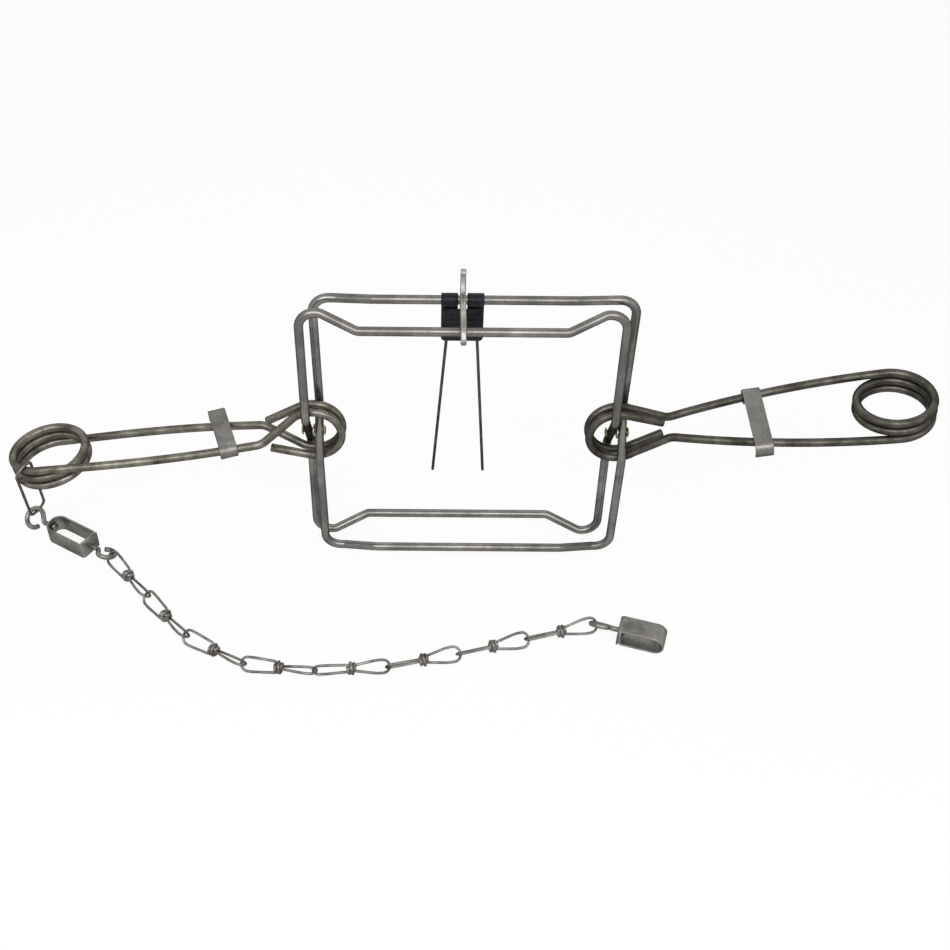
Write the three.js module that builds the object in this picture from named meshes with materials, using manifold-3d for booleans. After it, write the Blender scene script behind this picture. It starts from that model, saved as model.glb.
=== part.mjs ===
// A set body grip trap: two square rod jaws that cross at side pivots, two coil springs with eyes round
// the pivots, safety clips, a trigger with its dog, and an anchor chain that lies on the floor.
// Millimetres, X to the right, Y to the rear, Z up.
import * as THREE from "three";
import { mergeVertices } from "three/addons/utils/BufferGeometryUtils.js";
import Module from "manifold-3d";

const wasm = await Module();
wasm.setup();

// Common values
const CLEARANCE = 0.35; // between pieces that touch
const CUT_OVERRUN = 2; // how far a drill runs past what it cuts
const FULL_TURN = 2 * Math.PI;
const HALF_TURN = Math.PI;
const QUARTER_TURN = Math.PI / 2;
const X_AXIS = new THREE.Vector3(1, 0, 0);
const Y_AXIS = new THREE.Vector3(0, 1, 0);
const Z_AXIS = new THREE.Vector3(0, 0, 1);
const radians = THREE.MathUtils.degToRad;

// Jaws
const ROD_DIAMETER = 7.9;
const ROD_SIDES = 12;
const JAW_WIDTH = 262; // between the centre lines of the side bars
const JAW_HEIGHT = 262; // between the centre lines at the corners
const JAW_SIDE_STEP = 9.6; // the two jaws sit beside each other at the pivots
const CORNER_RADIUS = 14;
const CORNER_DEPTH = 10.3; // from the middle plane of the trap to a jaw's corners
const JOG_DEPTH = 14.2; // from the middle plane to the knee of a side bar
const JOG_HEIGHT = 22; // from the pivot to the knee
const JOG_RADIUS = 9;
const BAR_OUT = 11.6; // a cross bar stands this far out of its jaw's corners
const BAR_IN = 9.2; // and this far in towards the pivot
const BAR_RAMP_LOW = 17; // where the step of a cross bar starts, from the side bar
const BAR_RAMP_HIGH = 47; // and where it ends
const BAR_RAMP_RADIUS = 10;
const BEND_STEP = radians(23);

// Pivots
const RIVET_DIAMETER = 4.4;
const RIVET_HEAD_DIAMETER = 9.2;
const RIVET_HEAD_THICKNESS = 1.6;
const RIVET_SIDES = 14;
const WASHER_DIAMETER = 11;
const WASHER_THICKNESS = 1.2;

// Springs
const WIRE_DIAMETER = 7.5;
const WIRE_SIDES = 8;
const EYE_RADIUS = 24.2; // of the wire's centre line round the pivot
const EYE_PLANE = 5.5; // from the middle plane to the plane of each eye
const EYE_STEPS = 16;
const EYE_END = 39.7; // where the cut end of the wire stops, from the pivot
const EYE_END_HEIGHT = 10.4; // and how far it stays off the pivot's level
const NECK = 45; // where both runs of an eye meet, from the pivot
const NECK_RADIUS = 14;
const NECK_WIDTH = 25.8; // between the arms' centre lines at the neck
const COIL_DISTANCE = 235; // from the pivot to the coil's middle
const COIL_RADIUS = 31.5;
const COIL_TURNS = 2.5;
const COIL_PITCH = 8.4;
const COIL_STEPS_PER_TURN = 22;
const ARM_STEPS = 8;
const ARM_DROP_BEND = 1.3; // over 1, so that the arms meet the coil level
const SPRING_SWING = radians(8); // the left coil lies this far down and the right one up

// Safety clips
const CLIP_THICKNESS = 1.6;
const CLIP_WIDTH = 15.3;
const CLIP_REACH = 56; // from the arm in the curl to the hook
const CLIP_PLAY = 1.2; // round the arm in the curl
const LEFT_CLIP_SKEW = radians(8); // the clips lie a little askew on their arms
const RIGHT_CLIP_SKEW = radians(-6);
const CLIP_CURL = radians(285);
const CLIP_STEP = radians(20);
const CLIP_HOOK_DROP = 4.5;
const CLIP_LIP = 2.6;
const CLIP_LIP_ANGLE = radians(50);
const LEFT_CLIP_AT = 73; // along the arm, from the pivot
const RIGHT_CLIP_AT = 119;

// Trigger
const TRIGGER_SHIFT = -4.7; // the trigger sits left of the trap's middle
const BRACKET_WIDTH = 35;
const BRACKET_SHEET = 1.5;
const BRACKET_DROP = 40.5; // from the bar's centre to the lower edge
const BRACKET_FIN = 1.2; // stands above the curl
const BRACKET_CORNER = 5;
const BRACKET_SLOT = 7.6;
const BRACKET_SLOT_DEPTH = 9.5; // below the bar's centre
const PIN_DIAMETER = 2.6; // the trigger wires
const PIN_WALL = 1.1; // of the bracket's tube round the cross wire
const WIRE_PIVOT_DROP = 35; // from the bar's centre to the cross wire
const WIRE_PIVOT_SPAN = 25; // between the two hanging wires where they leave the bracket
const WIRE_LENGTH = 144;
const WIRE_SPREAD_LEFT = 11;
const WIRE_SPREAD_RIGHT = 9;
const WIRE_LEAN = radians(-4);
const TRIGGER_WIRE_SIDES = 8;
const DOG_THICKNESS = 4.6;
const DOG_EYE_DIAMETER = 15;
const DOG_TAIL = 29.5; // stands above the rear bar's centre
const DOG_TAIL_WIDTH = 6;
const DOG_ARM_HEIGHT = 6; // of the arm above the catch
const DOG_RAMP = radians(26);
const DOG_NOSE = 14.5; // in front of the caught bar's centre
const DOG_HEEL = 5.5; // behind the caught bar's surface
const DOG_SIDES = 24;

// Chain
const LINK_PITCH = 61.5;
const LINK_COUNT = 8;
const LINK_WIRE = 2.4;
const LINK_WIRE_SIDES = 6;
const LINK_WIDTH = 15.4;
const LINK_WIDEST = 21; // where a loop has opened to its full width, from the knot
const LINK_NECK = 3.4; // between the wires of a loop in the knot
const LINK_ROOT = 10.6; // between the wires of the near loop beside the knot
const LINK_ROOT_AT = 4; // and how far from the knot's middle that is
const LINK_ROOT_BEND = 2.6;
const LINK_SIDE_BEND = 12;
const LINK_BEND = 5.6;
const LINK_BEND_STEP = radians(45);
const KNOT_DIAMETER = 12;
const KNOT_LENGTH = 9.4;
const KNOT_NOSE = 8; // the diameter of a knot at its ends
const KNOT_SIDES = 10;
const LINK_HEADINGS = [-49, -48, -30, -7, 5, 14, 16, 14].map(radians);
const LINK_ROLLS = [45, 45, 50, 62, 96, 118, 132, 137].map(radians);

// Swivels and the ring on the coil
const SWIVEL_HEADING = radians(-31);
const SWIVEL_LENGTH = 48;
const SWIVEL_WIDTH = 21;
const SWIVEL_STRAP = 17;
const SWIVEL_SHEET = 1.7;
const SWIVEL_END_RADIUS = 9;
const SWIVEL_CORNER = 2.5;
const SHANK_DIAMETER = 4.8;
const SHANK_HEAD_DIAMETER = 8;
const SHANK_HEAD = 2.4;
const SHANK_SIDES = 10;
const SHANK_PLAY = 0.6; // of a shank's head in the round end of a strap
const CHAIN_EYE_RADIUS = 7.6;
const CHAIN_EYE_DISTANCE = 19; // from the swivel's wall to the middle of the eye
const CHAIN_EYE_ROLL = radians(-22);
const RING_EYE_RADIUS = 9.2;
const RING_EYE_DISTANCE = 21;
const SWIVEL_EYE_SWEEP = radians(325);
const SWIVEL_EYE_STEPS = 12;
const RING_EYE_TILT = radians(-40);
const RING_WIRE = 2.6;
const RING_WIDTH = 17.6;
const RING_COIL_ANGLE = radians(60); // where the ring goes round the coil, from the spring's long axis
const RING_EYE_ANGLE = radians(-78); // where it holds the eye, from the eye's far side
const RING_CORNER = 7;
const RING_PLAY = 0.8; // between the ring and what hangs in it
const END_HEADING = radians(-17);
const END_EYE_ROLL = radians(45);
const END_LENGTH = 41;
const END_HEIGHT = 18;
const END_STRAP = 19;
const END_SHEET = 1.8;
const END_CORNER = 4;
const END_EYE_RADIUS = 8.2;
const END_EYE_DISTANCE = 16;
const END_EYE_PLAY = 1; // between the end eye and the link in it
const CHAIN_START_IN = 42.2; // where the first link hangs in the swivel's eye, in from the left coil's middle
const CHAIN_START_FRONT = 31.5; // and in front of it

// Worked-out sizes
const ROD_RADIUS = ROD_DIAMETER / 2;
const ROD_FLAT = ROD_RADIUS * Math.cos(HALF_TURN / ROD_SIDES);
const WIRE_RADIUS = WIRE_DIAMETER / 2;
const PIVOT_X = JAW_WIDTH / 2;
const PIVOT_HEIGHT = JAW_HEIGHT / 2 + ROD_FLAT;
const COIL_HALF_HEIGHT = (COIL_TURNS * COIL_PITCH) / 2;
const COIL_X = PIVOT_X + COIL_DISTANCE * Math.cos(SPRING_SWING);
const CHAIN_START = new THREE.Vector2(CHAIN_START_IN - COIL_X, -CHAIN_START_FRONT);
const BAR_DEPTH = CORNER_DEPTH + BAR_OUT;
const BAR_HEIGHT = JAW_HEIGHT / 2 - BAR_IN;

// Shape helpers
function vector(x, y, z) {
  return new THREE.Vector3(x, y, z);
}

// A path given by stations, each a point with its direction, so that a tube gets one ring at each station.
class StationPath extends THREE.Curve {
  constructor(stations, side = null, turn = 0) {
    super();
    this.stations = stations;
    this.side = side;
    this.turn = turn;
  }
  station(share) {
    return this.stations[Math.round(share * (this.stations.length - 1))];
  }
  getPoint(share, target = new THREE.Vector3()) {
    return target.copy(this.station(share).point);
  }
  getPointAt(share, target) {
    return this.getPoint(share, target);
  }
  getTangent(share, target = new THREE.Vector3()) {
    return target.copy(this.station(share).direction);
  }
  getTangentAt(share, target) {
    return this.getTangent(share, target);
  }
  computeFrenetFrames(segments, closed) {
    if (!this.side) return super.computeFrenetFrames(segments, closed);
    const tangents = this.stations.map((station) => station.direction);
    const binormals = tangents.map((tangent) => {
      const across = this.side.clone().projectOnPlane(tangent).normalize();
      return across.applyAxisAngle(tangent, this.turn);
    });
    const normals = tangents.map((tangent, i) => binormals[i].clone().cross(tangent));
    return { tangents, normals, binormals };
  }
}

// The stations of a line through corners, each rounded by its bend radius.
function roundedStations(corners, closed, step) {
  const count = corners.length;
  const stations = [];
  corners.forEach((corner, i) => {
    const isEnd = !closed && (i === 0 || i === count - 1);
    const before = corners[(i + count - 1) % count].at;
    const after = corners[(i + 1) % count].at;
    const arriving = corner.at.clone().sub(before).normalize();
    const leaving = after.clone().sub(corner.at).normalize();
    if (isEnd) {
      stations.push({ point: corner.at, direction: i === 0 ? leaving : arriving });
      return;
    }
    const angle = arriving.angleTo(leaving);
    const axis = arriving.clone().cross(leaving).normalize();
    const setback = corner.bend * Math.tan(angle / 2);
    const start = corner.at.clone().addScaledVector(arriving, -setback);
    const middle = start.clone().addScaledVector(axis.clone().cross(arriving), corner.bend);
    const steps = Math.max(1, Math.ceil(angle / step));
    for (let k = 0; k <= steps; k += 1) {
      const turned = (angle * k) / steps;
      const spoke = start.clone().sub(middle).applyAxisAngle(axis, turned);
      stations.push({
        point: middle.clone().add(spoke),
        direction: arriving.clone().applyAxisAngle(axis, turned),
      });
    }
  });
  return stations;
}

// Stations along points that follow a smooth curve.
function smoothStations(points) {
  const last = points.length - 1;
  return points.map((point, i) => {
    const before = points[Math.max(0, i - 1)];
    const after = points[Math.min(last, i + 1)];
    return { point, direction: after.clone().sub(before).normalize() };
  });
}

function polygon(radius, sides) {
  const shape = new THREE.Shape();
  for (let i = 0; i < sides; i += 1) {
    const angle = ((i + 0.5) * FULL_TURN) / sides;
    const x = radius * Math.cos(angle);
    const y = radius * Math.sin(angle);
    if (i === 0) shape.moveTo(x, y);
    else shape.lineTo(x, y);
  }
  shape.closePath();
  return shape;
}

function openRod(stations, radius, sides, side = null) {
  const path = new StationPath(stations, side);
  return new THREE.ExtrudeGeometry(polygon(radius, sides), {
    steps: stations.length - 1,
    extrudePath: path,
    curveSegments: 1,
  });
}

function closedRod(stations, radius, sides, side) {
  const loop = [...stations, stations[0]];
  const path = new StationPath(loop, side, HALF_TURN / sides);
  return new THREE.TubeGeometry(path, stations.length, radius, sides, true);
}

// A round bar along X, from x0 to x1.
function barAlongX(radius, x0, x1, sides) {
  const bar = new THREE.CylinderGeometry(radius, radius, x1 - x0, sides);
  bar.rotateZ(QUARTER_TURN);
  bar.translate((x0 + x1) / 2, 0, 0);
  return bar;
}

function solidOf(geometry) {
  const bare = geometry.clone();
  bare.deleteAttribute("normal");
  bare.deleteAttribute("uv");
  const merged = mergeVertices(bare, 1e-4);
  const vertProperties = Float32Array.from(merged.attributes.position.array);
  const triVerts = Uint32Array.from(merged.index.array);
  return new wasm.Manifold(new wasm.Mesh({ numProp: 3, vertProperties, triVerts }));
}

function geometryOf(solid) {
  const mesh = solid.getMesh();
  const geometry = new THREE.BufferGeometry();
  geometry.setAttribute("position", new THREE.BufferAttribute(mesh.vertProperties, 3));
  geometry.setIndex(new THREE.BufferAttribute(mesh.triVerts, 1));
  const flat = geometry.toNonIndexed();
  flat.computeVertexNormals();
  return flat;
}

function joined(...geometries) {
  const [first, ...others] = geometries.map(solidOf);
  return geometryOf(others.reduce((whole, piece) => whole.add(piece), first));
}

function cutFrom(geometry, ...tools) {
  return geometryOf(tools.map(solidOf).reduce((whole, tool) => whole.subtract(tool), solidOf(geometry)));
}

function meshOf(name, geometry, material) {
  const mesh = new THREE.Mesh(geometry, material);
  mesh.name = name;
  return mesh;
}

function metal(colour, roughness, metalness) {
  return new THREE.MeshStandardMaterial({ color: colour, roughness, metalness });
}

const JAW_STEEL = metal(0x85817a, 0.38, 0.9);
const SPRING_STEEL = metal(0x5c564d, 0.5, 0.85);
const CLIP_STEEL = metal(0x9a9892, 0.42, 0.9);
const BLACK_SHEET = metal(0x232226, 0.45, 0.6);
const DOG_STEEL = metal(0x9c988c, 0.4, 0.9);
const TRIGGER_STEEL = metal(0x3a3a38, 0.5, 0.8);
const RIVET_BRASS = metal(0xb7a66a, 0.35, 0.9);
const WASHER_STEEL = metal(0xb4b2ac, 0.35, 0.95);
const CHAIN_STEEL = metal(0x7a756d, 0.45, 0.85);
const SWIVEL_STEEL = metal(0x827f78, 0.48, 0.85);

// Jaws
// One half of a jaw's line, from its upper cross bar to its lower one; lean is the side its upper bar takes.
function jawHalf(lean) {
  const depth = lean * BAR_DEPTH;
  const corner = lean * CORNER_DEPTH;
  const knee = lean * JOG_DEPTH;
  const top = JAW_HEIGHT / 2;
  return [
    { at: vector(PIVOT_X - BAR_RAMP_HIGH, depth, BAR_HEIGHT), bend: BAR_RAMP_RADIUS },
    { at: vector(PIVOT_X - BAR_RAMP_LOW, corner, top), bend: BAR_RAMP_RADIUS },
    { at: vector(PIVOT_X, corner, top), bend: CORNER_RADIUS },
    { at: vector(PIVOT_X, knee, JOG_HEIGHT), bend: JOG_RADIUS },
    { at: vector(PIVOT_X, -knee, -JOG_HEIGHT), bend: JOG_RADIUS },
    { at: vector(PIVOT_X, -corner, -top), bend: CORNER_RADIUS },
    { at: vector(PIVOT_X - BAR_RAMP_LOW, -corner, -top), bend: BAR_RAMP_RADIUS },
    { at: vector(PIVOT_X - BAR_RAMP_HIGH, -depth, -BAR_HEIGHT), bend: BAR_RAMP_RADIUS },
  ];
}

function jawGeometry(lean) {
  const right = jawHalf(lean);
  const left = jawHalf(lean)
    .reverse()
    .map(({ at, bend }) => ({ at: vector(-at.x, at.y, at.z), bend }));
  const stations = roundedStations([...right, ...left], true, BEND_STEP);
  const rod = closedRod(stations, ROD_RADIUS, ROD_SIDES, Y_AXIS);
  const holes = [-PIVOT_X, PIVOT_X].map((x) => {
    const reach = ROD_RADIUS + CUT_OVERRUN;
    return barAlongX(RIVET_DIAMETER / 2 + CLEARANCE, x - reach, x + reach, RIVET_SIDES);
  });
  return cutFrom(rod, ...holes);
}

function jaw(name, lean) {
  const mesh = meshOf(name, jawGeometry(lean), JAW_STEEL);
  mesh.position.x = (lean * JAW_SIDE_STEP) / 2;
  return mesh;
}

// Pivots
function rivetGeometry() {
  const face = JAW_SIDE_STEP / 2 + ROD_RADIUS + CLEARANCE;
  const end = face + RIVET_HEAD_THICKNESS;
  const headRadius = RIVET_HEAD_DIAMETER / 2;
  const crown = headRadius * 0.72;
  const profile = [
    [0, -end],
    [crown, -end],
    [headRadius, -face - RIVET_HEAD_THICKNESS / 2],
    [headRadius, -face],
    [RIVET_DIAMETER / 2, -face],
    [RIVET_DIAMETER / 2, face],
    [headRadius, face],
    [headRadius, face + RIVET_HEAD_THICKNESS / 2],
    [crown, end],
    [0, end],
  ].map(([radius, height]) => new THREE.Vector2(radius, height));
  const rivet = new THREE.LatheGeometry(profile, RIVET_SIDES);
  rivet.rotateZ(-QUARTER_TURN);
  return rivet;
}

function washerGeometry() {
  const shape = polygon(WASHER_DIAMETER / 2, RIVET_SIDES);
  shape.holes.push(polygon(RIVET_DIAMETER / 2 + CLEARANCE, RIVET_SIDES));
  const washer = new THREE.ExtrudeGeometry(shape, {
    depth: WASHER_THICKNESS,
    bevelEnabled: false,
    curveSegments: 1,
  });
  washer.translate(0, 0, -WASHER_THICKNESS / 2);
  washer.rotateY(QUARTER_TURN);
  return washer;
}

// Springs
// A spring points along +X from its pivot, with its front eye and arm on the -Y side.
const EYE_TOUCH = Math.acos(EYE_RADIUS / NECK); // where the run to the neck leaves the eye
const EYE_TAIL_REACH = Math.hypot(EYE_END, EYE_END_HEIGHT);
const EYE_TAIL = Math.atan2(EYE_END_HEIGHT, EYE_END) + Math.acos(EYE_RADIUS / EYE_TAIL_REACH);

function eyePoint(angle, depth) {
  return vector(EYE_RADIUS * Math.cos(angle), depth, EYE_RADIUS * Math.sin(angle));
}

const ARM_START = eyePoint(EYE_TOUCH, 0);
const NECK_SHARE = (NECK - ARM_START.x) / (COIL_DISTANCE - ARM_START.x);
const NECK_SPREAD_SHARE = (NECK_WIDTH / 2 - EYE_PLANE) / (COIL_RADIUS - EYE_PLANE);
const ARM_BOW = Math.log(1 - NECK_SPREAD_SHARE) / Math.log(1 - NECK_SHARE);

// How far an arm lies from the spring's middle plane, at a distance from the pivot.
function armSpread(distance) {
  const share = Math.max(0, (distance - ARM_START.x) / (COIL_DISTANCE - ARM_START.x));
  return EYE_PLANE + (COIL_RADIUS - EYE_PLANE) * (1 - (1 - share) ** ARM_BOW);
}

// How far an arm lies below the level of the pivot, past the neck.
function armDrop(distance) {
  const share = (distance - NECK) / (COIL_DISTANCE - NECK);
  return COIL_HALF_HEIGHT * (1 - (1 - share) ** ARM_DROP_BEND);
}

// The line of the front arm, from its cut end round the eye to the coil.
function frontArmPoints() {
  const points = [];
  points.push(vector(EYE_END, -EYE_PLANE, EYE_END_HEIGHT));
  for (let i = 0; i <= EYE_STEPS; i += 1) {
    const angle = EYE_TAIL + ((FULL_TURN - EYE_TAIL - EYE_TOUCH) * i) / EYE_STEPS;
    points.push(eyePoint(angle, -EYE_PLANE));
  }
  const low = points[points.length - 1];
  const coil = vector(COIL_DISTANCE, 0, -COIL_HALF_HEIGHT);
  const run = [
    { at: vector(low.x, 0, low.z), bend: 0 },
    { at: vector(NECK, 0, 0), bend: NECK_RADIUS },
    { at: coil, bend: 0 },
  ];
  const neck = roundedStations(run, false, BEND_STEP).slice(1, -1);
  const gapStart = neck[0].point.x;
  points.push(vector((low.x + gapStart) / 2, 0, (low.z + neck[0].point.z) / 2));
  neck.forEach(({ point }) => points.push(point));
  const from = neck[neck.length - 1].point.x;
  for (let i = 1; i < ARM_STEPS; i += 1) {
    const distance = from + ((COIL_DISTANCE - from) * i) / ARM_STEPS;
    points.push(vector(distance, 0, -armDrop(distance)));
  }
  return points.map((point, i) => {
    if (i <= EYE_STEPS + 1) return point;
    return vector(point.x, -armSpread(point.x), point.z);
  });
}

// A point of the coil, at an angle from its start beside the front arm.
function coilPoint(turned) {
  const angle = turned - QUARTER_TURN;
  const climb = (COIL_PITCH * turned) / FULL_TURN;
  return vector(
    COIL_DISTANCE + COIL_RADIUS * Math.cos(angle),
    COIL_RADIUS * Math.sin(angle),
    climb - COIL_HALF_HEIGHT,
  );
}

function springPoints() {
  const front = frontArmPoints();
  const rear = front.map(({ x, y, z }) => vector(x, -y, -z)).reverse();
  const steps = COIL_TURNS * COIL_STEPS_PER_TURN;
  const coil = [];
  for (let i = 0; i <= steps; i += 1) coil.push(coilPoint((FULL_TURN * i) / COIL_STEPS_PER_TURN));
  return [...front, ...coil, ...rear];
}

// The least gap between stretches of one wire that lie further apart along it than a few diameters.
function leastGap(points, diameter) {
  const path = new THREE.CatmullRomCurve3(points);
  const length = path.getLength();
  const count = Math.ceil(length / (diameter / 4));
  const places = path.getSpacedPoints(count);
  const apart = Math.ceil((4 * diameter * count) / length);
  let least = Infinity;
  for (let i = 0; i < places.length; i += 1) {
    for (let j = i + apart; j < places.length; j += 1) {
      least = Math.min(least, places[i].distanceTo(places[j]));
    }
  }
  return least - diameter;
}

function springGeometry() {
  return openRod(smoothStations(springPoints()), WIRE_RADIUS, WIRE_SIDES);
}

// Safety clips
// The outline of a bent strip, from its middle line.
function stripShape(line, thickness) {
  const half = thickness / 2;
  const last = line.length - 1;
  const sides = line.map((point, i) => {
    const before = line[Math.max(0, i - 1)];
    const after = line[Math.min(last, i + 1)];
    const along = after.clone().sub(before).normalize();
    return new THREE.Vector2(-along.y, along.x).multiplyScalar(half);
  });
  const upper = line.map((point, i) => point.clone().add(sides[i]));
  const lower = line.map((point, i) => point.clone().sub(sides[i])).reverse();
  return new THREE.Shape([...upper, ...lower]);
}

function arcPoints(middle, radius, from, to, step) {
  const steps = Math.ceil(Math.abs(to - from) / step);
  const points = [];
  for (let i = 0; i <= steps; i += 1) {
    const angle = from + ((to - from) * i) / steps;
    points.push(new THREE.Vector2(radius * Math.cos(angle), radius * Math.sin(angle)).add(middle));
  }
  return points;
}

// A clip's arm lies along X through its origin, and the strap runs over it towards +Y.
function clipGeometry() {
  const radius = WIRE_RADIUS + CLIP_PLAY + CLIP_THICKNESS / 2;
  const curlMiddle = new THREE.Vector2(0, 0);
  const hookMiddle = new THREE.Vector2(CLIP_REACH, 0);
  const curl = arcPoints(curlMiddle, radius, QUARTER_TURN + CLIP_CURL, QUARTER_TURN, CLIP_STEP);
  const hook = arcPoints(hookMiddle, radius, QUARTER_TURN, 0, CLIP_STEP);
  const drop = new THREE.Vector2(CLIP_REACH + radius, -CLIP_HOOK_DROP);
  const lip = new THREE.Vector2(
    drop.x - CLIP_LIP * Math.sin(CLIP_LIP_ANGLE),
    drop.y - CLIP_LIP * Math.cos(CLIP_LIP_ANGLE),
  );
  const clip = new THREE.ExtrudeGeometry(stripShape([...curl, ...hook, drop, lip], CLIP_THICKNESS), {
    depth: CLIP_WIDTH,
    bevelEnabled: false,
    curveSegments: 1,
  });
  clip.translate(0, 0, -CLIP_WIDTH / 2);
  clip.rotateX(QUARTER_TURN);
  clip.rotateZ(QUARTER_TURN);
  return clip;
}

// Puts a clip on the arm that ends in the coil's top turn, at a distance from the pivot. The arm is the
// rear one of a spring that points along +X, and the strap rests on the front arm.
function seatClip(clip, distance, skew) {
  const nudge = WIRE_DIAMETER;
  const rear = (x) => vector(x, armSpread(x), armDrop(x));
  const front = (x) => vector(x, -armSpread(x), -armDrop(x));
  const along = rear(distance + nudge).sub(rear(distance - nudge)).normalize().negate();
  const across = front(distance).sub(rear(distance)).projectOnPlane(along).normalize();
  const up = along.clone().cross(across);
  along.applyAxisAngle(up, skew);
  across.applyAxisAngle(up, skew);
  clip.matrixAutoUpdate = false;
  clip.matrix.makeBasis(along, across, up).setPosition(rear(distance));
  return clip;
}

// Trigger
// The bracket hangs on the rear upper bar, whose centre is its origin; its sheets lie in front of each other.
function bracketGeometry() {
  const inner = ROD_RADIUS + CLEARANCE;
  const outer = inner + BRACKET_SHEET;
  const half = BRACKET_SHEET;
  const seam = Math.asin(half / outer);
  const outline = new THREE.Shape([
    ...arcPoints(new THREE.Vector2(0, 0), outer, -QUARTER_TURN + seam, 3 * QUARTER_TURN - seam, CLIP_STEP),
    new THREE.Vector2(-half, -BRACKET_DROP),
    new THREE.Vector2(half, -BRACKET_DROP),
  ]);
  outline.holes.push(new THREE.Path(polygon(inner, ROD_SIDES).getPoints(1)));
  const body = new THREE.ExtrudeGeometry(outline, {
    depth: BRACKET_WIDTH,
    bevelEnabled: false,
    curveSegments: 1,
  });
  body.translate(0, 0, -BRACKET_WIDTH / 2);
  body.rotateX(QUARTER_TURN);
  body.rotateZ(QUARTER_TURN);
  const fin = new THREE.BoxGeometry(BRACKET_WIDTH, BRACKET_SHEET, BRACKET_FIN + BRACKET_SHEET);
  fin.translate(0, 0, inner + (BRACKET_FIN + BRACKET_SHEET) / 2);
  const slotHeight = BRACKET_SLOT_DEPTH + outer + BRACKET_FIN + CUT_OVERRUN;
  const slot = new THREE.BoxGeometry(BRACKET_SLOT, 2 * (outer + CUT_OVERRUN), slotHeight);
  slot.translate(0, 0, slotHeight / 2 - BRACKET_SLOT_DEPTH);
  const bore = PIN_DIAMETER / 2 + CLEARANCE;
  const tube = barAlongX(bore + PIN_WALL, -BRACKET_WIDTH / 2, BRACKET_WIDTH / 2, DOG_SIDES);
  tube.translate(0, 0, -WIRE_PIVOT_DROP);
  const drill = barAlongX(bore, -WIRE_PIVOT_SPAN / 2, WIRE_PIVOT_SPAN / 2, DOG_SIDES);
  drill.translate(0, 0, -WIRE_PIVOT_DROP);
  const notches = [-1, 1].map((side) => {
    const depth = BRACKET_DROP - WIRE_PIVOT_DROP + CUT_OVERRUN;
    const notch = new THREE.BoxGeometry(2 * (PIN_DIAMETER + bore), 2 * (outer + CUT_OVERRUN), depth + bore);
    const middle = (side * (WIRE_PIVOT_SPAN - PIN_DIAMETER)) / 2;
    notch.translate(middle, 0, bore - WIRE_PIVOT_DROP - (depth + bore) / 2);
    return notch;
  });
  const corners = [-1, 1].map((side) => {
    const chip = new THREE.BoxGeometry(BRACKET_CORNER, 2 * (outer + CUT_OVERRUN), BRACKET_CORNER);
    chip.rotateY(QUARTER_TURN / 2);
    chip.translate((side * BRACKET_WIDTH) / 2, 0, -BRACKET_DROP);
    return chip;
  });
  return cutFrom(joined(body, fin, tube), slot, drill, ...notches, ...corners);
}

// One bent wire: a cross run in the bracket and two hanging ends.
function triggerWireGeometry() {
  const half = WIRE_PIVOT_SPAN / 2;
  const drop = (spread) => Math.sqrt(WIRE_LENGTH ** 2 - spread ** 2);
  const corners = [
    { at: vector(-half - WIRE_SPREAD_LEFT, 0, -drop(WIRE_SPREAD_LEFT)), bend: 0 },
    { at: vector(-half, 0, 0), bend: PIN_DIAMETER },
    { at: vector(half, 0, 0), bend: PIN_DIAMETER },
    { at: vector(half + WIRE_SPREAD_RIGHT, 0, -drop(WIRE_SPREAD_RIGHT)), bend: 0 },
  ];
  const stations = roundedStations(corners, false, LINK_BEND_STEP);
  return openRod(stations, PIN_DIAMETER / 2, TRIGGER_WIRE_SIDES, Y_AXIS);
}

// The dog turns on the rear upper bar and catches the front one. Its outline has Y to the rear.
function dogGeometry() {
  const eye = DOG_EYE_DIAMETER / 2;
  const catchX = -2 * BAR_DEPTH;
  const seat = ROD_RADIUS + CLEARANCE;
  const slope = Math.tan(DOG_RAMP);
  const crest = new THREE.Vector2(catchX - seat * Math.sin(DOG_RAMP), seat * Math.cos(DOG_RAMP));
  const noseX = catchX - DOG_NOSE;
  const noseLow = crest.y - (crest.x - noseX) * slope;
  const heelX = catchX + seat;
  const armTop = seat + DOG_ARM_HEIGHT;
  const armLow = -DOG_HEEL + ROD_RADIUS;
  const tail = DOG_TAIL_WIDTH / 2;
  const outline = new THREE.Shape([
    new THREE.Vector2(noseX, noseLow),
    crest,
    ...arcPoints(new THREE.Vector2(catchX, 0), seat, QUARTER_TURN, 0, CLIP_STEP),
    new THREE.Vector2(heelX, armLow),
    new THREE.Vector2(heelX + DOG_HEEL, armLow),
    ...arcPoints(new THREE.Vector2(0, 0), eye, HALF_TURN + QUARTER_TURN / 2, 2 * HALF_TURN, CLIP_STEP),
    new THREE.Vector2(tail, eye),
    new THREE.Vector2(tail, DOG_TAIL),
    new THREE.Vector2(-tail, DOG_TAIL),
    new THREE.Vector2(-tail, eye),
    new THREE.Vector2(-eye, armTop),
    new THREE.Vector2(catchX, armTop),
    new THREE.Vector2(noseX, noseLow + DOG_HEEL),
  ]);
  outline.holes.push(new THREE.Path(polygon(seat, ROD_SIDES).getPoints(1)));
  const dog = new THREE.ExtrudeGeometry(outline, {
    depth: DOG_THICKNESS,
    bevelEnabled: false,
    curveSegments: 1,
  });
  dog.translate(0, 0, -DOG_THICKNESS / 2);
  dog.rotateX(QUARTER_TURN);
  dog.rotateZ(QUARTER_TURN);
  return dog;
}

// Chain
const LINK_REACH = LINK_PITCH / 2 + LINK_WIRE + CLEARANCE / 2; // from a knot to the outside of a loop

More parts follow.
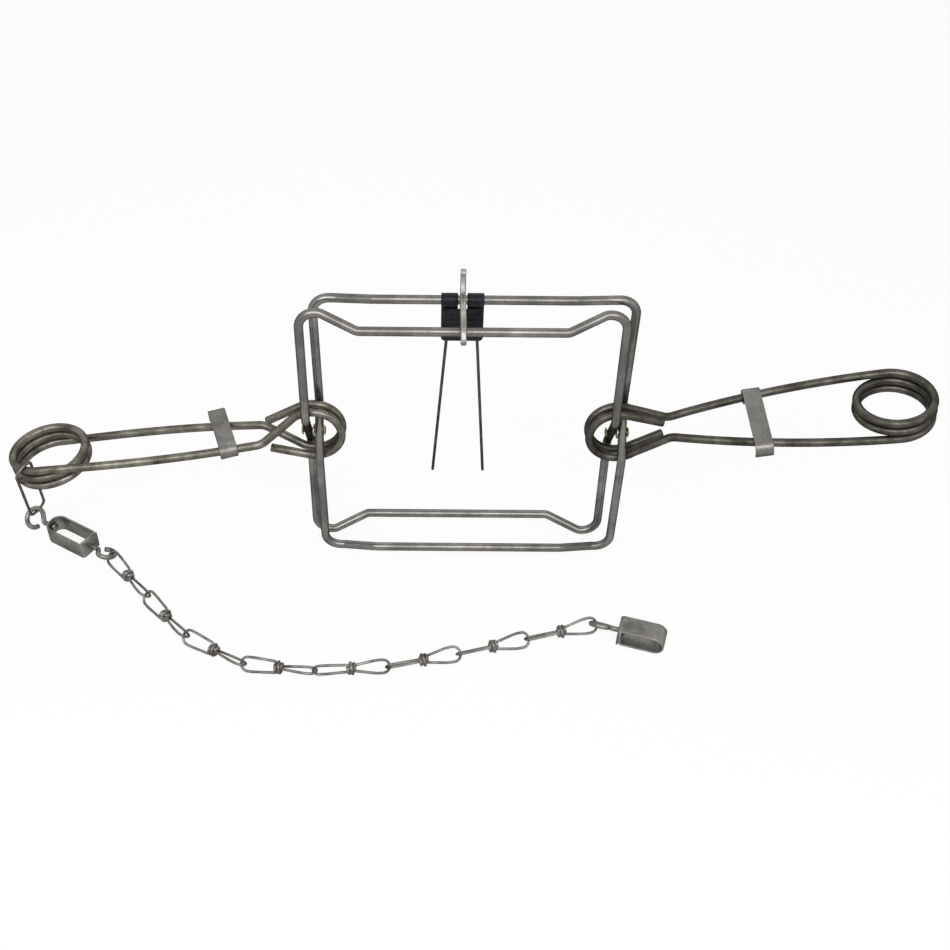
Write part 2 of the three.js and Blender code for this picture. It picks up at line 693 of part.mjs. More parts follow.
// One loop of a link, in the XY plane, from the knot along +X. The near loop is wide beside the knot, and
// the far one opens from it like a drop.
function loopGeometry(isNear) {
  const end = LINK_REACH - LINK_WIRE / 2;
  const half = (LINK_WIDTH - LINK_WIRE) / 2;
  const neck = LINK_NECK / 2;
  const upper = [
    { at: vector(-neck / 2, neck, 0), bend: neck / 2 },
    ...(isNear ? [{ at: vector(LINK_ROOT_AT, LINK_ROOT / 2, 0), bend: LINK_ROOT_BEND }] : []),
    { at: vector(LINK_WIDEST, half, 0), bend: LINK_SIDE_BEND },
    { at: vector(end, half, 0), bend: LINK_BEND },
  ];
  const lower = [...upper].reverse().map(({ at, bend }) => ({ at: vector(at.x, -at.y, 0), bend }));
  const stations = roundedStations([...upper, ...lower], true, LINK_BEND_STEP);
  return closedRod(stations, LINK_WIRE / 2, LINK_WIRE_SIDES, Z_AXIS);
}

// The wire wound round the middle of a link.
function knotGeometry() {
  const end = KNOT_LENGTH / 2;
  const profile = [
    [0, -end],
    [KNOT_NOSE / 2, -end],
    [KNOT_DIAMETER / 2, -end / 2],
    [KNOT_DIAMETER / 2, end / 2],
    [KNOT_NOSE / 2, end],
    [0, end],
  ].map(([radius, height]) => new THREE.Vector2(radius, height));
  const knot = new THREE.LatheGeometry(profile, KNOT_SIDES);
  knot.rotateZ(-QUARTER_TURN);
  return knot;
}

function linkGeometry() {
  const ahead = loopGeometry(false);
  ahead.rotateX(QUARTER_TURN);
  const behind = loopGeometry(true);
  behind.rotateZ(HALF_TURN);
  return joined(knotGeometry(), ahead, behind);
}

// A knot's height above the floor, for a link rolled round its long axis.
function linkHeight(roll) {
  const reach = (LINK_WIDTH - LINK_WIRE) / 2;
  const lowest = Math.max(Math.abs(Math.sin(roll)), Math.abs(Math.cos(roll)));
  return reach * lowest + LINK_WIRE / 2 + CLEARANCE;
}

function links() {
  const at = CHAIN_START.clone();
  const made = [];
  for (let i = 0; i < LINK_COUNT; i += 1) {
    const heading = LINK_HEADINGS[i];
    const step = new THREE.Vector2(Math.cos(heading), Math.sin(heading)).multiplyScalar(LINK_PITCH);
    const middle = at.clone().addScaledVector(step, 1 / 2);
    const link = meshOf(`chain_link_${i + 1}`, linkGeometry(), CHAIN_STEEL);
    const height = linkHeight(LINK_ROLLS[i]);
    const near = i === 0 ? SWIVEL_STRAP / 2 : height;
    const far = i === LINK_COUNT - 1 ? END_HEIGHT / 2 : height;
    link.position.set(middle.x, middle.y, (near + far) / 2);
    link.rotation.set(LINK_ROLLS[i], Math.asin((near - far) / LINK_PITCH), heading, "ZYX");
    made.push(link);
    at.add(step);
  }
  return { made, end: at };
}

// Swivels
// A strap loop in the XZ plane about its middle: a rounded end at -X and a doubled flat one at +X.
function strapLoopGeometry(length, height, strap, sheet, endRadius, corner) {
  const outline = (inset, wall) => {
    const left = -length / 2 + inset;
    const right = length / 2 - wall;
    const half = height / 2 - inset;
    const round = endRadius - inset;
    const tight = Math.max(corner - inset, inset / 2);
    const at = (x, y) => new THREE.Vector2(x, y);
    return [
      ...arcPoints(at(left + round, half - round), round, HALF_TURN, QUARTER_TURN, CLIP_STEP),
      ...arcPoints(at(right - tight, half - tight), tight, QUARTER_TURN, 0, CLIP_STEP),
      ...arcPoints(at(right - tight, tight - half), tight, 0, -QUARTER_TURN, CLIP_STEP),
      ...arcPoints(at(left + round, round - half), round, -QUARTER_TURN, -HALF_TURN, CLIP_STEP),
    ];
  };
  const shape = new THREE.Shape(outline(0, 0));
  shape.holes.push(new THREE.Path(outline(sheet, 2 * sheet).reverse()));
  const loop = new THREE.ExtrudeGeometry(shape, { depth: strap, bevelEnabled: false, curveSegments: 1 });
  loop.translate(0, 0, -strap / 2);
  loop.rotateX(QUARTER_TURN);
  return loop;
}

function drilledLoop(loop, length, ends) {
  const reach = length / 2;
  const hole = SHANK_DIAMETER / 2 + CLEARANCE;
  const drills = ends.map((end) => {
    const from = end < 0 ? -reach - CUT_OVERRUN : 0;
    const to = end < 0 ? 0 : reach + CUT_OVERRUN;
    return barAlongX(hole, from, to, SHANK_SIDES);
  });
  return cutFrom(loop, ...drills);
}

// An eye bolt along X: its eye's middle is the origin, in the XY plane, and its shank runs towards -X
// through a wall at the given distance, behind which its head sits.
function eyeBoltGeometry(radius, wire, distance, wall) {
  const points = [];
  for (let i = 0; i <= SWIVEL_EYE_STEPS; i += 1) {
    const angle = HALF_TURN + (SWIVEL_EYE_SWEEP * i) / SWIVEL_EYE_STEPS;
    points.push(vector(radius * Math.cos(angle), radius * Math.sin(angle), 0));
  }
  const eye = openRod(smoothStations(points), wire / 2, SHANK_SIDES, Z_AXIS);
  const headFace = -distance - wall - CLEARANCE;
  const shank = barAlongX(SHANK_DIAMETER / 2, headFace - SHANK_HEAD / 2, -radius, SHANK_SIDES);
  const head = barAlongX(SHANK_HEAD_DIAMETER / 2, headFace - SHANK_HEAD, headFace, SHANK_SIDES);
  return joined(eye, shank, head);
}

// Puts a piece on the floor plan, at a height, turned to a heading and rolled round its own X axis.
function lay(mesh, x, y, z, heading, roll = 0) {
  mesh.position.set(x, y, z);
  mesh.rotation.set(roll, 0, heading, "ZYX");
  return mesh;
}

function leftSwivel() {
  const along = new THREE.Vector2(Math.cos(SWIVEL_HEADING), Math.sin(SWIVEL_HEADING));
  const height = SWIVEL_STRAP / 2;
  const hang = CHAIN_EYE_RADIUS - SHANK_DIAMETER / 2 - CLEARANCE;
  const chainEye = CHAIN_START.clone().addScaledVector(along, -hang);
  const middle = chainEye.clone().addScaledVector(along, -CHAIN_EYE_DISTANCE - SWIVEL_LENGTH / 2);
  const ringEye = middle.clone().addScaledVector(along, -SWIVEL_LENGTH / 2 - RING_EYE_DISTANCE);
  const loop = strapLoopGeometry(
    SWIVEL_LENGTH,
    SWIVEL_WIDTH,
    SWIVEL_STRAP,
    SWIVEL_SHEET,
    SWIVEL_END_RADIUS,
    SWIVEL_CORNER,
  );
  const box = meshOf("swivel_box", drilledLoop(loop, SWIVEL_LENGTH, [-1, 1]), SWIVEL_STEEL);
  const near = eyeBoltGeometry(CHAIN_EYE_RADIUS, SHANK_DIAMETER, CHAIN_EYE_DISTANCE, 2 * SWIVEL_SHEET);
  const farWall = SWIVEL_SHEET + SHANK_PLAY;
  const far = eyeBoltGeometry(RING_EYE_RADIUS, SHANK_DIAMETER, RING_EYE_DISTANCE, farWall);
  const chainBolt = meshOf("swivel_chain_eye", near, CHAIN_STEEL);
  const ringBolt = meshOf("swivel_ring_eye", far, CHAIN_STEEL);
  lay(box, middle.x, middle.y, height, SWIVEL_HEADING, QUARTER_TURN);
  lay(chainBolt, chainEye.x, chainEye.y, height, SWIVEL_HEADING, CHAIN_EYE_ROLL);
  lay(ringBolt, ringEye.x, ringEye.y, height, SWIVEL_HEADING + HALF_TURN, RING_EYE_TILT);
  return { pieces: [box, chainBolt, ringBolt], ringBolt };
}

function endSwivel(chainEnd) {
  const along = new THREE.Vector2(Math.cos(END_HEADING), Math.sin(END_HEADING));
  const hang = END_EYE_RADIUS - SHANK_DIAMETER / 2 - END_EYE_PLAY;
  const eye = chainEnd.clone().addScaledVector(along, hang);
  const middle = eye.clone().addScaledVector(along, END_EYE_DISTANCE + END_LENGTH / 2);
  const height = END_HEIGHT / 2;
  const shape = strapLoopGeometry(END_LENGTH, END_HEIGHT, END_STRAP, END_SHEET, height, END_CORNER);
  shape.rotateZ(HALF_TURN);
  const loop = meshOf("end_loop", drilledLoop(shape, END_LENGTH, [-1]), SWIVEL_STEEL);
  const bolt = eyeBoltGeometry(END_EYE_RADIUS, SHANK_DIAMETER, END_EYE_DISTANCE, 2 * END_SHEET);
  const eyeBolt = meshOf("end_eye", bolt, CHAIN_STEEL);
  lay(loop, middle.x, middle.y, height, END_HEADING);
  lay(eyeBolt, eye.x, eye.y, height, END_HEADING + HALF_TURN, END_EYE_ROLL);
  return [loop, eyeBolt];
}

// The thin ring that joins the left coil to its swivel. It goes round the coil's turns at one place and
// round the wire of the swivel's eye at the other.
function coilRingGeometry(coilWires, eyeWire) {
  const [highest, lowest] = [coilWires[0], coilWires[coilWires.length - 1]];
  const margin = RING_WIRE / 2 + RING_PLAY;
  const upward = highest.at.clone().sub(eyeWire).normalize();
  const top = highest.at.clone().addScaledVector(upward, WIRE_RADIUS + margin);
  const bottom = eyeWire.clone().addScaledVector(upward, -SHANK_DIAMETER / 2 - margin);
  const across = lowest.outward.clone().projectOnPlane(upward).normalize();
  const corner = (base, side) => ({
    at: base.clone().addScaledVector(across, (side * RING_WIDTH) / 2),
    bend: RING_CORNER,
  });
  const corners = [corner(top, 1), corner(top, -1), corner(bottom, -1), corner(bottom, 1)];
  const stations = roundedStations(corners, true, LINK_BEND_STEP);
  const side = across.clone().cross(upward);
  return closedRod(stations, RING_WIRE / 2, TRIGGER_WIRE_SIDES, side);
}

// Assembly
const trap = new THREE.Group();
const stand = new THREE.Group();
stand.position.z = PIVOT_HEIGHT;
trap.add(stand);

stand.add(jaw("jaw_front_top", -1));
stand.add(jaw("jaw_rear_top", 1));

const springs = {};
for (const [name, side, clipAt, clipSkew] of [
  ["left", -1, LEFT_CLIP_AT, LEFT_CLIP_SKEW],
  ["right", 1, RIGHT_CLIP_AT, RIGHT_CLIP_SKEW],
]) {
  const pivot = new THREE.Group();
  pivot.position.x = side * PIVOT_X;
  pivot.add(meshOf(`${name}_rivet`, rivetGeometry(), RIVET_BRASS));
  pivot.add(meshOf(`${name}_washer`, washerGeometry(), WASHER_STEEL));
  const turned = new THREE.Group();
  turned.rotation.z = side < 0 ? HALF_TURN : 0;
  const swung = new THREE.Group();
  swung.rotation.y = side < 0 ? SPRING_SWING : -SPRING_SWING;
  swung.add(meshOf(`${name}_spring`, springGeometry(), SPRING_STEEL));
  swung.add(seatClip(meshOf(`${name}_clip`, clipGeometry(), CLIP_STEEL), clipAt, clipSkew));
  turned.add(swung);
  pivot.add(turned);
  stand.add(pivot);
  springs[name] = swung;
}

const triggerSeat = new THREE.Group();
triggerSeat.position.set(TRIGGER_SHIFT, BAR_DEPTH, BAR_HEIGHT);
stand.add(triggerSeat);
triggerSeat.add(meshOf("trigger_bracket", bracketGeometry(), BLACK_SHEET));
triggerSeat.add(meshOf("dog", dogGeometry(), DOG_STEEL));
const triggerWires = meshOf("trigger_wires", triggerWireGeometry(), TRIGGER_STEEL);
triggerWires.position.z = -WIRE_PIVOT_DROP;
triggerWires.rotation.x = WIRE_LEAN;
triggerSeat.add(triggerWires);

const { made: chainLinks, end: chainEnd } = links();
const { pieces: swivelPieces, ringBolt } = leftSwivel();
trap.add(...chainLinks, ...swivelPieces, ...endSwivel(chainEnd));

trap.updateMatrixWorld(true);
const leftMatrix = springs.left.matrixWorld;
const coilWires = [2, 1, 0].map((turn) => {
  const turned = RING_COIL_ANGLE + QUARTER_TURN + turn * FULL_TURN;
  const at = coilPoint(turned).applyMatrix4(leftMatrix);
  const middle = vector(COIL_DISTANCE, 0, coilPoint(turned).z).applyMatrix4(leftMatrix);
  return { at, outward: at.clone().sub(middle).normalize() };
});
const ringSpoke = vector(Math.cos(RING_EYE_ANGLE), Math.sin(RING_EYE_ANGLE), 0);
const eyeWire = ringSpoke.multiplyScalar(RING_EYE_RADIUS).applyMatrix4(ringBolt.matrixWorld);
trap.add(meshOf("coil_ring", coilRingGeometry(coilWires, eyeWire), CHAIN_STEEL));

console.log("least gap of a spring's wire to itself, mm:", leastGap(springPoints(), WIRE_DIAMETER).toFixed(2));

// The origin lies under the middle of the whole object, on the floor.
const extent = new THREE.Box3().setFromObject(trap, true);
trap.position.set(-(extent.min.x + extent.max.x) / 2, -(extent.min.y + extent.max.y) / 2, -extent.min.z);

export default trap;
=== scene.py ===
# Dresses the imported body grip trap: finer rods, wires, straps and sheets over the CAD solids, with
# procedural metals, a pale floor, soft studio light and a camera at the photograph's angle.
# Lengths are in millimetres from the middle of the jaws' pivot line, and become metres in place().
import math

import bmesh
import bpy
from mathutils import Matrix, Vector


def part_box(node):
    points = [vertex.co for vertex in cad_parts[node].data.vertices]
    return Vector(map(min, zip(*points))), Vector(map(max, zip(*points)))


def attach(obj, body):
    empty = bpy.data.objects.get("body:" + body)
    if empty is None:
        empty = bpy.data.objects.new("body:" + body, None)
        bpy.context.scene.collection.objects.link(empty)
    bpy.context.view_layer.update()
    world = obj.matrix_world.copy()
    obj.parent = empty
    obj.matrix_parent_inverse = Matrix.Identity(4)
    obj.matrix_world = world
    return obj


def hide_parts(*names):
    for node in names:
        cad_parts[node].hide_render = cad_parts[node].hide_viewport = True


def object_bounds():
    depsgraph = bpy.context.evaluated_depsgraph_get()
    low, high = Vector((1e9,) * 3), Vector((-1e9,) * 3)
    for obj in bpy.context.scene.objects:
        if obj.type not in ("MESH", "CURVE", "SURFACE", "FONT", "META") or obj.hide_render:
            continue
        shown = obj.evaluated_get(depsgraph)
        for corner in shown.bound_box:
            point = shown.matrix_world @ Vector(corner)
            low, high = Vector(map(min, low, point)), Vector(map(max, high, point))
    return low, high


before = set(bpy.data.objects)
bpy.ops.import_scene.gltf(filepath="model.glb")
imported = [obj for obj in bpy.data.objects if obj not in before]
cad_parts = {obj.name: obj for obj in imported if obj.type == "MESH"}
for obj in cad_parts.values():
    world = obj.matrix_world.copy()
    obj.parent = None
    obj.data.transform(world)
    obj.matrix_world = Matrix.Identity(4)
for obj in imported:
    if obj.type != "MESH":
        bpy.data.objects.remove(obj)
cad_box = [list(corner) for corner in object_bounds()]

MM = 0.001
FULL_TURN = 2 * math.pi
QUARTER_TURN = math.pi / 2
X_AXIS = Vector((1, 0, 0))
Y_AXIS = Vector((0, 1, 0))
Z_AXIS = Vector((0, 0, 1))
radians = math.radians


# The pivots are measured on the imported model, so that everything here follows it.
def middle_of(cad_node):
    low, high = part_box(cad_node)
    return (low + high) / (2 * MM)


PIVOT_LEFT = middle_of("left_rivet")
PIVOT_RIGHT = middle_of("right_rivet")
PIVOT = (PIVOT_LEFT + PIVOT_RIGHT) / 2
HALF_SPAN = (PIVOT_RIGHT - PIVOT_LEFT).length / 2

# Sizes of the jaws. The round rod is thinner than the solid's, to stay inside that one's flat sides.
CLEARANCE = 0.35
SOLID_ROD_RADIUS = 3.95
ROD_RADIUS = 3.805
JAW_HALF = 131
JAW_SIDE_STEP = 9.6
CORNER_RADIUS = 14
CORNER_DEPTH = 10.3
JOG_DEPTH = 14.2
JOG_HEIGHT = 22
JOG_RADIUS = 9
BAR_DEPTH = 21.9
BAR_HEIGHT = 121.8
BAR_RAMP_LOW = 17
BAR_RAMP_HIGH = 47
BAR_RAMP_RADIUS = 10
PIVOT_HEIGHT = 134.816

# Sizes of the pivots
RIVET_HEAD_RADIUS = 4.45
RIVET_HEAD_HEIGHT = 1.5
RIVET_HEAD_EDGE = 0.3
RIVET_FACE_SHARE = 0.98
RIVET_SHANK_RADIUS = 2.1
RIVET_CROWN_ANGLES = (0.35, 0.7, 1.05, 1.3)
WASHER_HOLE_RADIUS = 2.6
WASHER_RADIUS = 5.4
WASHER_HALF = 0.55
WASHER_EDGE = 0.2

# Sizes of the springs
SOLID_WIRE_RADIUS = 3.75
WIRE_RADIUS = 3.64
WIRE_CHAMFER = 0.5
EYE_RADIUS = 24.2
EYE_PLANE = 5.5
EYE_END = 39.7
EYE_END_HEIGHT = 10.4
EYE_STEPS = 60
NECK = 45
NECK_RADIUS = 14
NECK_HALF_SPREAD = 12.9
ARM_STEPS = 24
LEAD_SHARES = (0.25, 0.5, 0.75)
COIL_DISTANCE = 235
COIL_RADIUS = 31.1
COIL_TURNS = 2.5
COIL_TURN_STEPS = 60
COIL_PITCH = 8.4
COIL_HALF_HEIGHT = COIL_TURNS * COIL_PITCH / 2
ARM_DROP_BEND = 1.3
SPRING_SWING = radians(8)

# Sizes of the clips
CLIP_THICKNESS = 1.6
CLIP_INSET = 0.05
CLIP_WIDTH = 15.3
CLIP_REACH = 56
CLIP_PLAY = 1.2
CLIP_SKEWS = {"left": radians(8), "right": radians(-6)}
CLIP_CURL = radians(285)
CLIP_HOOK_DROP = 4.5
CLIP_LIP = 2.6
CLIP_LIP_ANGLE = radians(50)
CLIP_AT = {"left": 73, "right": 119}
STRIP_CORNER = 0.45
STRIP_CHAMFER = 0.3

# Sizes of the trigger
TRIGGER_SEAT = Vector((-4.7, 21.9, 121.8))
BRACKET_WIDTH = 35
BRACKET_SHEET = 1.5
BRACKET_EDGE = 0.5
BRACKET_PLAY = 0.1
BRACKET_DROP = 40.5
BRACKET_CORNER = 3.5
BRACKET_SLOT = 7.6
BRACKET_SLOT_DEPTH = 9.5
BRACKET_JOIN_DROP = 4
BRACKET_LAP = 6
BRACKET_TUBE_RADIUS = 2.7
BRACKET_TUBE_EDGE = 0.5
RIB_DROPS = (14, 19, 24, 29)
RIB_INSET = 2.5
RIB_RADIUS = 0.55
RIB_CHAMFER = 0.4
PIN_RADIUS = 1.28
PIN_BEND = 3.2
PIN_CHAMFER = 0.3
PIN_PIVOT_DROP = 35
PIN_PIVOT_SPAN = 25
PIN_LENGTH = 144
PIN_SPREADS = (11, 9)
PIN_LEAN = radians(-4)
DOG_THICKNESS = 4.6
DOG_EDGE = 0.9
DOG_EYE_RADIUS = 7.5
DOG_EYE_START = radians(225)
DOG_HOLE_SIDES = 60
DOG_TAIL = 29.5
DOG_TAIL_WIDTH = 6
DOG_SHOULDER = 1
DOG_ARM_HEIGHT = 6
DOG_RAMP = radians(26)
DOG_NOSE = 14.5
DOG_HEEL = 5.5

# Sizes of the chain's links
LINK_PITCH = 61.5
LINK_WIRE = 2.36
LINK_WIDTH = 15.36
LINK_WIDEST = 21
LINK_ROOT = 10.6
LINK_ROOT_AT = 4
LINK_ROOT_BEND = 2.6
LINK_SIDE_BEND = 30
LINK_BEND = 5.9
LINK_TAIL_AT = -1.5
LINK_TAIL_BEND = 1
LINK_STEP = radians(12)
KNOT_CORE = 1.9
KNOT_WRAP = 4.5
KNOT_WIRE = 1.42
KNOT_WIRE_PITCH = 3
KNOT_TURNS = 2.1
KNOT_TURN_STEPS = 24
KNOT_EASE_STEPS = 10
KNOT_CHAMFER = 0.4
BARREL_HALF = 3.9
BARREL_PLAIN_HALF = 3.1
BARREL_RADIUS = 3.6
BARREL_END_RADIUS = 2.6
LINK_HEADINGS = [radians(a) for a in (-49, -48, -30, -7, 5, 14, 16, 14)]
LINK_ROLLS = [radians(a) for a in (45, 45, 50, 62, 96, 118, 132, 137)]
COIL_X = JAW_HALF + COIL_DISTANCE * math.cos(SPRING_SWING)
CHAIN_START_IN = 42.2
CHAIN_START_FRONT = 31.5
CHAIN_START = Vector((CHAIN_START_IN - COIL_X, -CHAIN_START_FRONT, 0))

# Sizes of the swivels. Their finer eyes stay inside the box of the solids' flat-sided ones.
SWIVEL_HEADING = radians(-31)
SWIVEL_LENGTH = 48
SWIVEL_WIDTH = 21
SWIVEL_STRAP = 17
SWIVEL_SHEET = 1.7
SWIVEL_END_RADIUS = 9
STRAP_INSET = 0.1
SHEET_INSET = 0.04
STRAP_BEND_SHARE = 1.1
OUTER_LAP_SHARE = 0.45
INNER_LAP_SHARE = 0.8
SHANK_RADIUS = 2.4
SHANK_MIDDLE_SHARE = 0.2
SHANK_PLAY = 0.6
HEAD_RADIUS = 4
HEAD_HEIGHT = 2.4
HEAD_EDGE = 0.4
HEAD_CROWN = 0.9
HEAD_TOP = 0.2
HEAD_TOP_SHARE = 0.6
BOLT_INSET = 0.13
BOLT_CHAMFER = 0.5
BOLT_NECK_FAR = 5.5
BOLT_NECK_NEAR = 2.6
BOLT_EYE_START = radians(26)
BOLT_EYE_SWEEP = radians(325)
BOLT_EYE_STEPS = 12
CHAIN_EYE_RADIUS = 7.6
CHAIN_EYE_DISTANCE = 19
CHAIN_EYE_ROLL = radians(-22)
RING_EYE_RADIUS = 9.2
RING_EYE_DISTANCE = 21
RING_EYE_TILT = radians(-40)
RING_WIRE = 2.6
RING_HALF_WIDTH = 8.8
RING_CORNER = 8.4
RING_PLAY = 0.8
RING_COIL_ANGLE = radians(60)
RING_EYE_ANGLE = radians(-78)
END_HEADING = radians(-17)
END_EYE_ROLL = radians(45)
END_LENGTH = 41
END_HEIGHT = 18
END_STRAP = 19
END_SHEET = 1.8
END_EYE_RADIUS = 8.2
END_EYE_DISTANCE = 16
END_EYE_PLAY = 1

# Fineness of the meshes
FINE_STEP = radians(6)
ROD_SIDES = 24
WIRE_SIDES = 16
THIN_SIDES = 12
TURNED_SIDES = 32
CORNER_STEPS = 3
SMOOTH_STEPS = 6
PLATE_EDGE_STEPS = 2
NEARLY_UPRIGHT = 0.9
LEAST_END_SHARE = 0.2


# Mesh helpers
def place(point):
    return (point + PIVOT) * MM


def mesh_object(name, bm, material, is_smooth=True):
    mesh = bpy.data.meshes.new(name)
    bmesh.ops.recalc_face_normals(bm, faces=bm.faces)
    bm.to_mesh(mesh)
    bm.free()
    for polygon in mesh.polygons:
        polygon.use_smooth = is_smooth
    piece = bpy.data.objects.new(name, mesh)
    bpy.context.scene.collection.objects.link(piece)
    mesh.materials.append(material)
    return piece


def dress(piece, body, cad_node):
    """Makes the piece ride on the body and stand in for the CAD node."""
    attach(piece, body)
    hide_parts(cad_node)


def circle(radius, sides):
    angles = [FULL_TURN * i / sides for i in range(sides)]
    return [(radius * math.cos(a), radius * math.sin(a)) for a in angles]


def arc(middle, radius, first, last):
    """Points (across, up) of an arc in a plate's plane."""
    steps = max(2, math.ceil(abs(last - first) / FINE_STEP))
    angles = [first + (last - first) * i / steps for i in range(steps + 1)]
    return [(middle[0] + radius * math.cos(a), middle[1] + radius * math.sin(a)) for a in angles]


def rounded_rectangle(width, height, radius):
    """A rectangle's outline with round corners, width across the binormal and height along the normal."""
    points = []
    for corner, (sx, sy) in enumerate([(1, 1), (-1, 1), (-1, -1), (1, -1)]):
        for i in range(CORNER_STEPS + 1):
            angle = QUARTER_TURN * (corner + i / CORNER_STEPS)
            across = sx * (width / 2 - radius) + radius * math.cos(angle)
            up = sy * (height / 2 - radius) + radius * math.sin(angle)
            points.append((across, up))
    return points


def rounded(corners, is_closed, step=FINE_STEP):
    """Points of a line through corners, each given with its bend radius."""
    points = []
    count = len(corners)
    for i, (corner, bend) in enumerate(corners):
        if not is_closed and i in (0, count - 1):
            points.append(corner.copy())
            continue
        arriving = (corner - corners[i - 1][0]).normalized()
        leaving = (corners[(i + 1) % count][0] - corner).normalized()
        angle = arriving.angle(leaving)
        axis = arriving.cross(leaving).normalized()
        start = corner - arriving * bend * math.tan(angle / 2)
        middle = start + axis.cross(arriving) * bend
        steps = max(2, math.ceil(angle / step))
        for k in range(steps + 1):
            points.append(middle + Matrix.Rotation(angle * k / steps, 3, axis) @ (start - middle))
    return points


def smoothed(points):
    """Points of a smooth curve through the given ones."""
    line = []
    last = len(points) - 1
    for i in range(last):
        before = points[max(0, i - 1)]
        start = points[i]
        end = points[i + 1]
        after = points[min(last, i + 2)]
        for k in range(SMOOTH_STEPS):
            t = k / SMOOTH_STEPS
            bend = 2 * before - 5 * start + 4 * end - after
            twist = 3 * start - before - 3 * end + after
            line.append(start + (end - before) * t / 2 + bend * t**2 / 2 + twist * t**3 / 2)
    return line + [points[-1]]


def line_tangents(points, is_closed):
    count = len(points)
    tangents = []
    for i in range(count):
        before = points[i - 1] if is_closed or i else points[0]
        after = points[(i + 1) % count] if is_closed or i < count - 1 else points[-1]
        tangents.append((after - before).normalized())
    return tangents


def line_normals(tangents, side):
    """A normal for each tangent: square to the side, or without one carried along the line untwisted."""
    if side is not None:
        return [tangent.cross(side).normalized() for tangent in tangents]
    first = tangents[0]
    helper = Z_AXIS if abs(first.z) < NEARLY_UPRIGHT else X_AXIS
    normal = first.cross(helper).cross(first).normalized()
    normals = []
    for tangent in tangents:
        normal = (normal - tangent * normal.dot(tangent)).normalized()
        normals.append(normal)
    return normals


def skin(bm, layer, rings, distances, around, is_closed):
    """Faces between rings of vertices. UVs are the distances along and around, in metres."""
    total = len(rings)
    sides = len(rings[0])
    for i in range(total if is_closed else total - 1):
        j = (i + 1) % total
        start, end = distances[i], distances[i + 1]
        for k in range(sides):
            n = (k + 1) % sides
            face = bm.faces.new((rings[i][k], rings[i][n], rings[j][n], rings[j][k]))
            low, high = around[k], around[k + 1]
            uvs = [(start, low), (start, high), (end, high), (end, low)]
            for loop, (u, v) in zip(face.loops, uvs):
                loop[layer].uv = (u * MM, v * MM)
    if not is_closed:
        bm.faces.new(list(reversed(rings[0])))
        bm.faces.new(rings[-1])


def sweep(name, points, profile, material, is_closed=False, side=None, chamfer=0, matrix=None):
    """A solid that follows a line, with a profile across it."""
    count = len(points)
    tangents = line_tangents(points, is_closed)
    normals = line_normals(tangents, side)
    lengths = [0]
    for i in range(1, count):
        lengths.append(lengths[-1] + (points[i] - points[i - 1]).length)
    last = count - 1
    stations = [(i, 0, 1) for i in range(count)]
    if chamfer:
        shrink = max(LEAST_END_SHARE, 1 - chamfer / max(abs(y) for _, y in profile))
        stations[0:1] = [(0, 0, shrink), (0, chamfer, 1)]
        stations[-1:] = [(last, -chamfer, 1), (last, 0, shrink)]
    bm = bmesh.new()
    layer = bm.loops.layers.uv.new("along")
    rings = []
    distances = []
    for i, shift, share in stations:
        across = tangents[i].cross(normals[i])
        base = points[i] + tangents[i] * shift
        ring = [base + across * x * share + normals[i] * y * share for x, y in profile]
        rings.append([bm.verts.new(place(matrix @ point if matrix else point)) for point in ring])
        distances.append(lengths[i] + shift)
    if is_closed:
        distances.append(lengths[-1] + (points[0] - points[-1]).length)
    around = [0]
    for (x0, y0), (x1, y1) in zip(profile, profile[1:] + profile[:1]):
        around.append(around[-1] + math.hypot(x1 - x0, y1 - y0))
    skin(bm, layer, rings, distances, around, is_closed)
    return mesh_object(name, bm, material)


def lathe(name, profile, matrix, material):
    """A turned solid round the matrix's X axis, from (distance along it, radius) pairs."""
    bm = bmesh.new()
    layer = bm.loops.layers.uv.new("along")
    rings = []
    for along, radius in profile:
        spokes = circle(radius, TURNED_SIDES) if radius else [(0, 0)]
        rings.append([bm.verts.new(place(matrix @ Vector((along, y, z)))) for y, z in spokes])
    for first, second, (along, _) in zip(rings, rings[1:], profile):
        for k in range(TURNED_SIDES):
            n = (k + 1) % TURNED_SIDES
            corners = [first[k % len(first)], first[n % len(first)]]
            corners += [second[n % len(second)], second[k % len(second)]]
            face = bm.faces.new(list(dict.fromkeys(corners)))
            for loop in face.loops:
                loop[layer].uv = (along * MM, k * MM)
    return mesh_object(name, bm, material)


def plate(name, outline, thickness, matrix, material, edge, holes=()):
    """A flat plate with round edges, from its outline in the matrix's XY plane."""
    curve = bpy.data.curves.new(name, "CURVE")
    curve.dimensions = "2D"
    curve.fill_mode = "BOTH"
    curve.extrude = (thickness / 2 - edge) * MM
    curve.bevel_depth = edge * MM
    curve.bevel_resolution = PLATE_EDGE_STEPS
    curve.offset = -edge * MM
    for ring in (outline, *holes):
        spline = curve.splines.new("POLY")
        spline.points.add(len(ring) - 1)
        spline.use_cyclic_u = True
        for point, (x, y) in zip(spline.points, ring):
            point.co = (x * MM, y * MM, 0, 1)
    shape = bpy.data.objects.new(name, curve)
    bpy.context.scene.collection.objects.link(shape)
    depsgraph = bpy.context.evaluated_depsgraph_get()
    mesh = bpy.data.meshes.new_from_object(shape.evaluated_get(depsgraph))
    bpy.data.objects.remove(shape)
    metres = Matrix.Scale(MM, 4)
    mesh.transform(metres @ Matrix.Translation(PIVOT) @ matrix @ metres.inverted())
    mesh.materials.clear()
    mesh.materials.append(material)
    piece = bpy.data.objects.new(name, mesh)
    bpy.context.scene.collection.objects.link(piece)
    return piece


def joined(name, pieces):
    """Pieces that make one body of metal, as one object."""
    first = pieces[0]
    bpy.ops.object.select_all(action="DESELECT")
    for piece in pieces:
        piece.select_set(True)
    bpy.context.view_layer.objects.active = first
    bpy.ops.object.join()
    first.name = name
    return first


